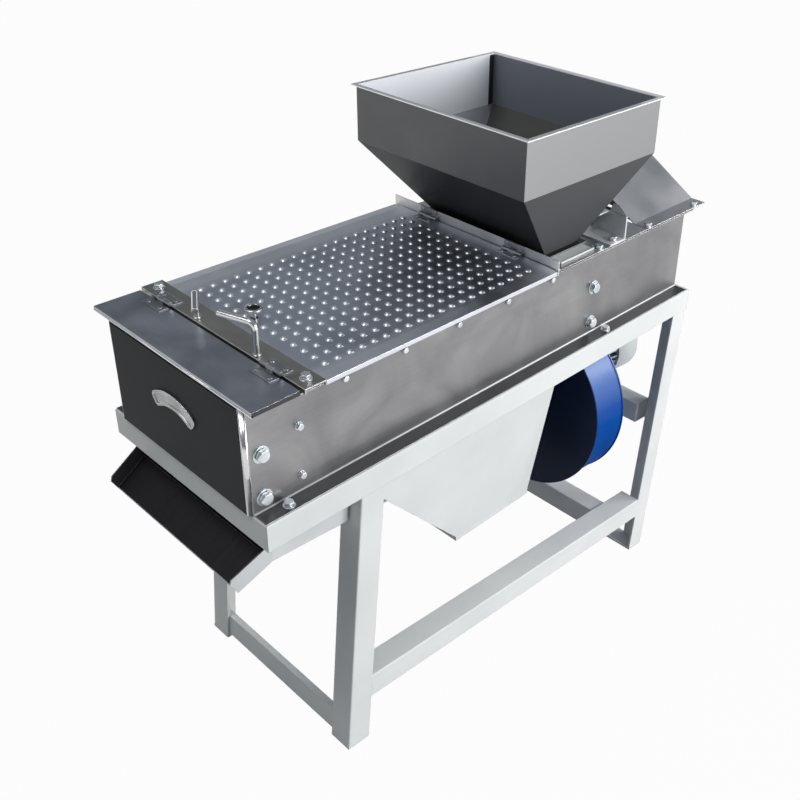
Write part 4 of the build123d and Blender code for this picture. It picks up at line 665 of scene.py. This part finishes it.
# %% Tube caps of the fan cross
TUBE_WALL, CORNERS, AROUND = 2.5, 8, 24
tube_middle, tube_height, tube_inner = LEG_REAR + ANGLE / 2, FAN_CROSS_TOP - ANGLE / 2, ANGLE / 2 - TUBE_WALL
rings = ((tube_inner - 0.2, 6.0), (tube_inner - 0.2, 1.0), (tube_inner - 3.5, 0.9), (tube_inner - 5.0, 0.4))
points, faces = [], []
for side in (-1, 1):
    first = len(points)
    for half, depth in rings:
        for k in range(AROUND):
            turn = 2 * math.pi * (k + 0.5) / AROUND
            wide, tall = math.cos(turn), math.sin(turn)
            reach = half / (abs(wide) ** CORNERS + abs(tall) ** CORNERS) ** (1 / CORNERS)
            points.append(upright(tube_middle + wide * reach, side * (INNER - depth),
                                  tube_height + tall * reach))
    for row in range(len(rings) - 1):
        faces += tube_faces(first + row * AROUND, AROUND)
    faces.append(tuple(range(len(points) - AROUND, len(points))))
piece("fan_cross_caps", points, faces, "base", "white_enamel", False)
print("cap faces", len(faces))

# %% [markdown]
# Folded sheet has a bend radius about as large as the sheet is thick, and the fold catches a line of light
# along the whole machine. A plain bead without ripple fills the corner between web and foot flange. Its
# near-white matt coat paints that line of light as a painted highlight.

# %% Bend lines of the side panels
PANEL, PANEL_SHEET, PANEL_END = 170, 2, 1033
runs = []
for side in (-1, 1):
    out = Vector((0, side, 0))
    start, end = [on_bed(along, side * PANEL, PANEL_SHEET) for along in (2, PANEL_END)]
    runs.append((start, end, out, bed_up))
points, faces = bead(runs, 2.0, 0.0, 4.0)
piece("panel_bend_lines", points, faces, "base", "painted_fold_highlight", True)
print("bend lines", len(runs))

# %% [markdown]
# The lid's front lip ends in a hem that is rolled over, so that nobody cuts a hand on it. It is a thin round
# bead with a flattened inner side. A ring of points swept along the lid's front edge makes it.

# %% Rolled hem of the lid
LID_HALF, LID_FRONT, LIP_LOW = 199, -7, 181
HEM_RADIUS, HEM_BACK, HEM_UP, HEM_FLAT = 2.1, 1.1, 1.2, 2.6
ring, points = 14, []
for across in (-LID_HALF, LID_HALF):
    for k in range(ring):
        turn = 2 * math.pi * k / ring
        reach = min(HEM_RADIUS * math.cos(turn) + HEM_BACK, HEM_FLAT)
        points.append(on_bed(LID_FRONT + reach, across, LIP_LOW + HEM_UP + HEM_RADIUS * math.sin(turn)))
faces = tube_faces(0, ring) + [tuple(range(ring - 1, -1, -1)), tuple(range(ring, 2 * ring))]
piece("lid_hem", points, faces, "lid", "polished_steel", True)
print("hem points", len(points))

# %% [markdown]
# Between end panel and side panel a narrow polished strip covers the slanting corner. It is bowed by a tenth
# of a millimetre and mirrors the floor as one bright upright line. Five points across make the bow.

# %% Corner strips
PANEL_FRONT, PANEL_HIGH = 1.5, 176
SLANT_AHEAD, SLANT_IN = 5.7, 7.4
STRIP_FACE, STRIP_BOW, STRIP_BACK = 0.3, 0.1, 0.1
points, faces = [], []
for side in (-1, 1):
    foot = Vector((PANEL_FRONT, side * PANEL))
    nose = Vector((PANEL_FRONT - SLANT_AHEAD, side * (PANEL - SLANT_IN)))
    slant = foot - nose
    outward = Vector((-abs(slant.y), side * slant.x)).normalized()
    first = len(points)
    for up_mm in (1, PANEL_HIGH - 3):
        for k in range(5):
            flat = foot.lerp(nose, k / 4) + outward * (STRIP_FACE + STRIP_BOW * math.sin(math.pi * k / 4))
            points.append(on_bed(flat.x, flat.y, up_mm))
        for k in range(5):
            flat = foot.lerp(nose, 1 - k / 4) - outward * STRIP_BACK
            points.append(on_bed(flat.x, flat.y, up_mm))
    faces += tube_faces(first, 10)
    faces += [tuple(range(first + 9, first - 1, -1)), tuple(range(first + 10, first + 20))]
piece("corner_strips", points, faces, "base", "polished_steel", True)
print("corner strip faces", len(faces))

# %% [markdown]
# The floor is a sheet of white paper, turned up at its far borders so that no horizon shows in a low view.
# Studio pictures of machines are cut out on white, so rays that come from the camera, from metal or through
# glass see mostly white paper, with enough of the lit paper left in it to keep the machine's shadow. Other
# rays see plain lit paper, so the floor adds no more light than paper does.

# %% Floor
half, rise = 20.0, 6.0
corners = [(-half, -half), (half, -half), (half, half), (-half, half)]
mesh = bpy.data.meshes.new("floor")
mesh.from_pydata([(x, y, z) for z in (0, rise) for x, y in corners], [],
                 [(0, 1, 2, 3)] + [(k, 4 + k, 4 + (k + 1) % 4, (k + 1) % 4) for k in range(4)])
floor = bpy.data.objects.new("floor", mesh)
bpy.context.scene.collection.objects.link(floor)
floor.location.z = -0.5 * MM
tree, shader, place = finish("white_paper", {"Base Color": linear("#8f9091"), "Roughness": 0.9})
ray = add(tree, "LightPath").outputs
seen = add(tree, "Math", {"operation": "MAXIMUM"}, {0: ray["Is Camera Ray"], 1: ray["Is Glossy Ray"]})
seen = add(tree, "Math", {"operation": "MAXIMUM"}, {0: seen.outputs[0], 1: ray["Is Transmission Ray"]})
share = add(tree, "Math", {"operation": "MULTIPLY", 1: 0.97}, {0: seen.outputs[0]})
white = add(tree, "Emission", {"Color": (1.0, 1.0, 1.0, 1.0), "Strength": 1.0})
paper = add(tree, "MixShader", None, {0: share.outputs[0], 1: shader.outputs[0], 2: white.outputs[0]})
tree.links.new(paper.outputs[0], tree.nodes["Material Output"].inputs["Surface"])
mesh.materials.append(finishes["white_paper"])
print("floor", 2 * half, "m wide")

# %% [markdown]
# The light is soft and comes mainly from the machine's right rear, low enough to reach under the bed, so the
# right faces of the frame shine and the faces towards the chute stay grey. A weak lamp high in front lifts
# the front cross and the chute, and one like a small window at the rear puts the shine on the fan. The sky is
# a soft, faintly blue ceiling, brighter overhead than at the horizon, and the level sheets mirror its lower
# part.

# %% Lamps and world
world = bpy.data.worlds.new("studio")
bpy.context.scene.world = world
world.use_nodes = True
tree = world.node_tree
way = add(tree, "SeparateXYZ", None, {0: add(tree, "TexCoord").outputs["Generated"]})
ceiling = add(tree, "MapRange", {"To Min": 0.08, "To Max": 0.45}, {"Value": way.outputs[2]})
tree.nodes["Background"].inputs["Color"].default_value = linear("#e6edf6")
tree.links.new(ceiling.outputs[0], tree.nodes["Background"].inputs["Strength"])


def lamp(name, place, aim, size, watts):
    """A soft rectangular lamp that looks from place to aim."""
    data = bpy.data.lights.new(name, "AREA")
    data.shape = "RECTANGLE"
    data.size, data.size_y = size
    data.energy = watts
    made = bpy.data.objects.new(name, data)
    bpy.context.scene.collection.objects.link(made)
    made.location = place
    made.rotation_euler = (Vector(aim) - Vector(place)).to_track_quat("-Z", "Y").to_euler()
    print("lamp", name, watts, "W")


lamp("right_side", (0.72, -3.3, 1.6), (0.0, 0.0, 0.5), (2.0, 2.4), 102)
lamp("front_high", (-1.6, 0.4, 2.8), (-0.4, 0.0, 0.5), (1.4, 1.4), 24)
lamp("rear_window", (2.4, -1.5, 1.8), (0.3, 0.0, 0.5), (0.9, 1.2), 21)

# %% [markdown]
# The camera stands at the photograph's place: its position, turn and focal length were fitted to the corners
# of the frame, box and hopper. The lens shift puts the machine in the same part of the square picture.

# %% Camera
PICTURE, SENSOR = 800, 36.0
FOCAL, CENTRE_X, CENTRE_Y = 999.09, 491.64, 311.56
azimuth, lift, roll = math.radians(-49.97), math.radians(24.44), math.radians(6.12)
back = Vector((math.sin(azimuth) * math.cos(lift), -math.cos(azimuth) * math.cos(lift), math.sin(lift)))
level = Vector((0, 0, 1)).cross(back).normalized()
straight = back.cross(level)
right = math.cos(roll) * level + math.sin(roll) * straight
top = -math.sin(roll) * level + math.cos(roll) * straight
eye = upright(-665.6, -1114.5, 1400.5)
camera_data = bpy.data.cameras.new("camera")
camera_data.sensor_width = SENSOR
camera_data.lens = SENSOR * FOCAL / PICTURE
camera_data.shift_x = (PICTURE / 2 - CENTRE_X) / PICTURE
camera_data.shift_y = (CENTRE_Y - PICTURE / 2) / PICTURE
camera = bpy.data.objects.new("camera", camera_data)
bpy.context.scene.collection.objects.link(camera)
camera.matrix_world = Matrix((
    (right.x, top.x, back.x, eye.x),
    (right.y, top.y, back.y, eye.y),
    (right.z, top.z, back.z, eye.z),
    (0, 0, 0, 1),
))
bpy.context.scene.camera = camera
bpy.context.scene.view_settings.view_transform = "Standard"
print("camera at", [round(v, 3) for v in eye], "lens", round(camera_data.lens, 2), "mm")
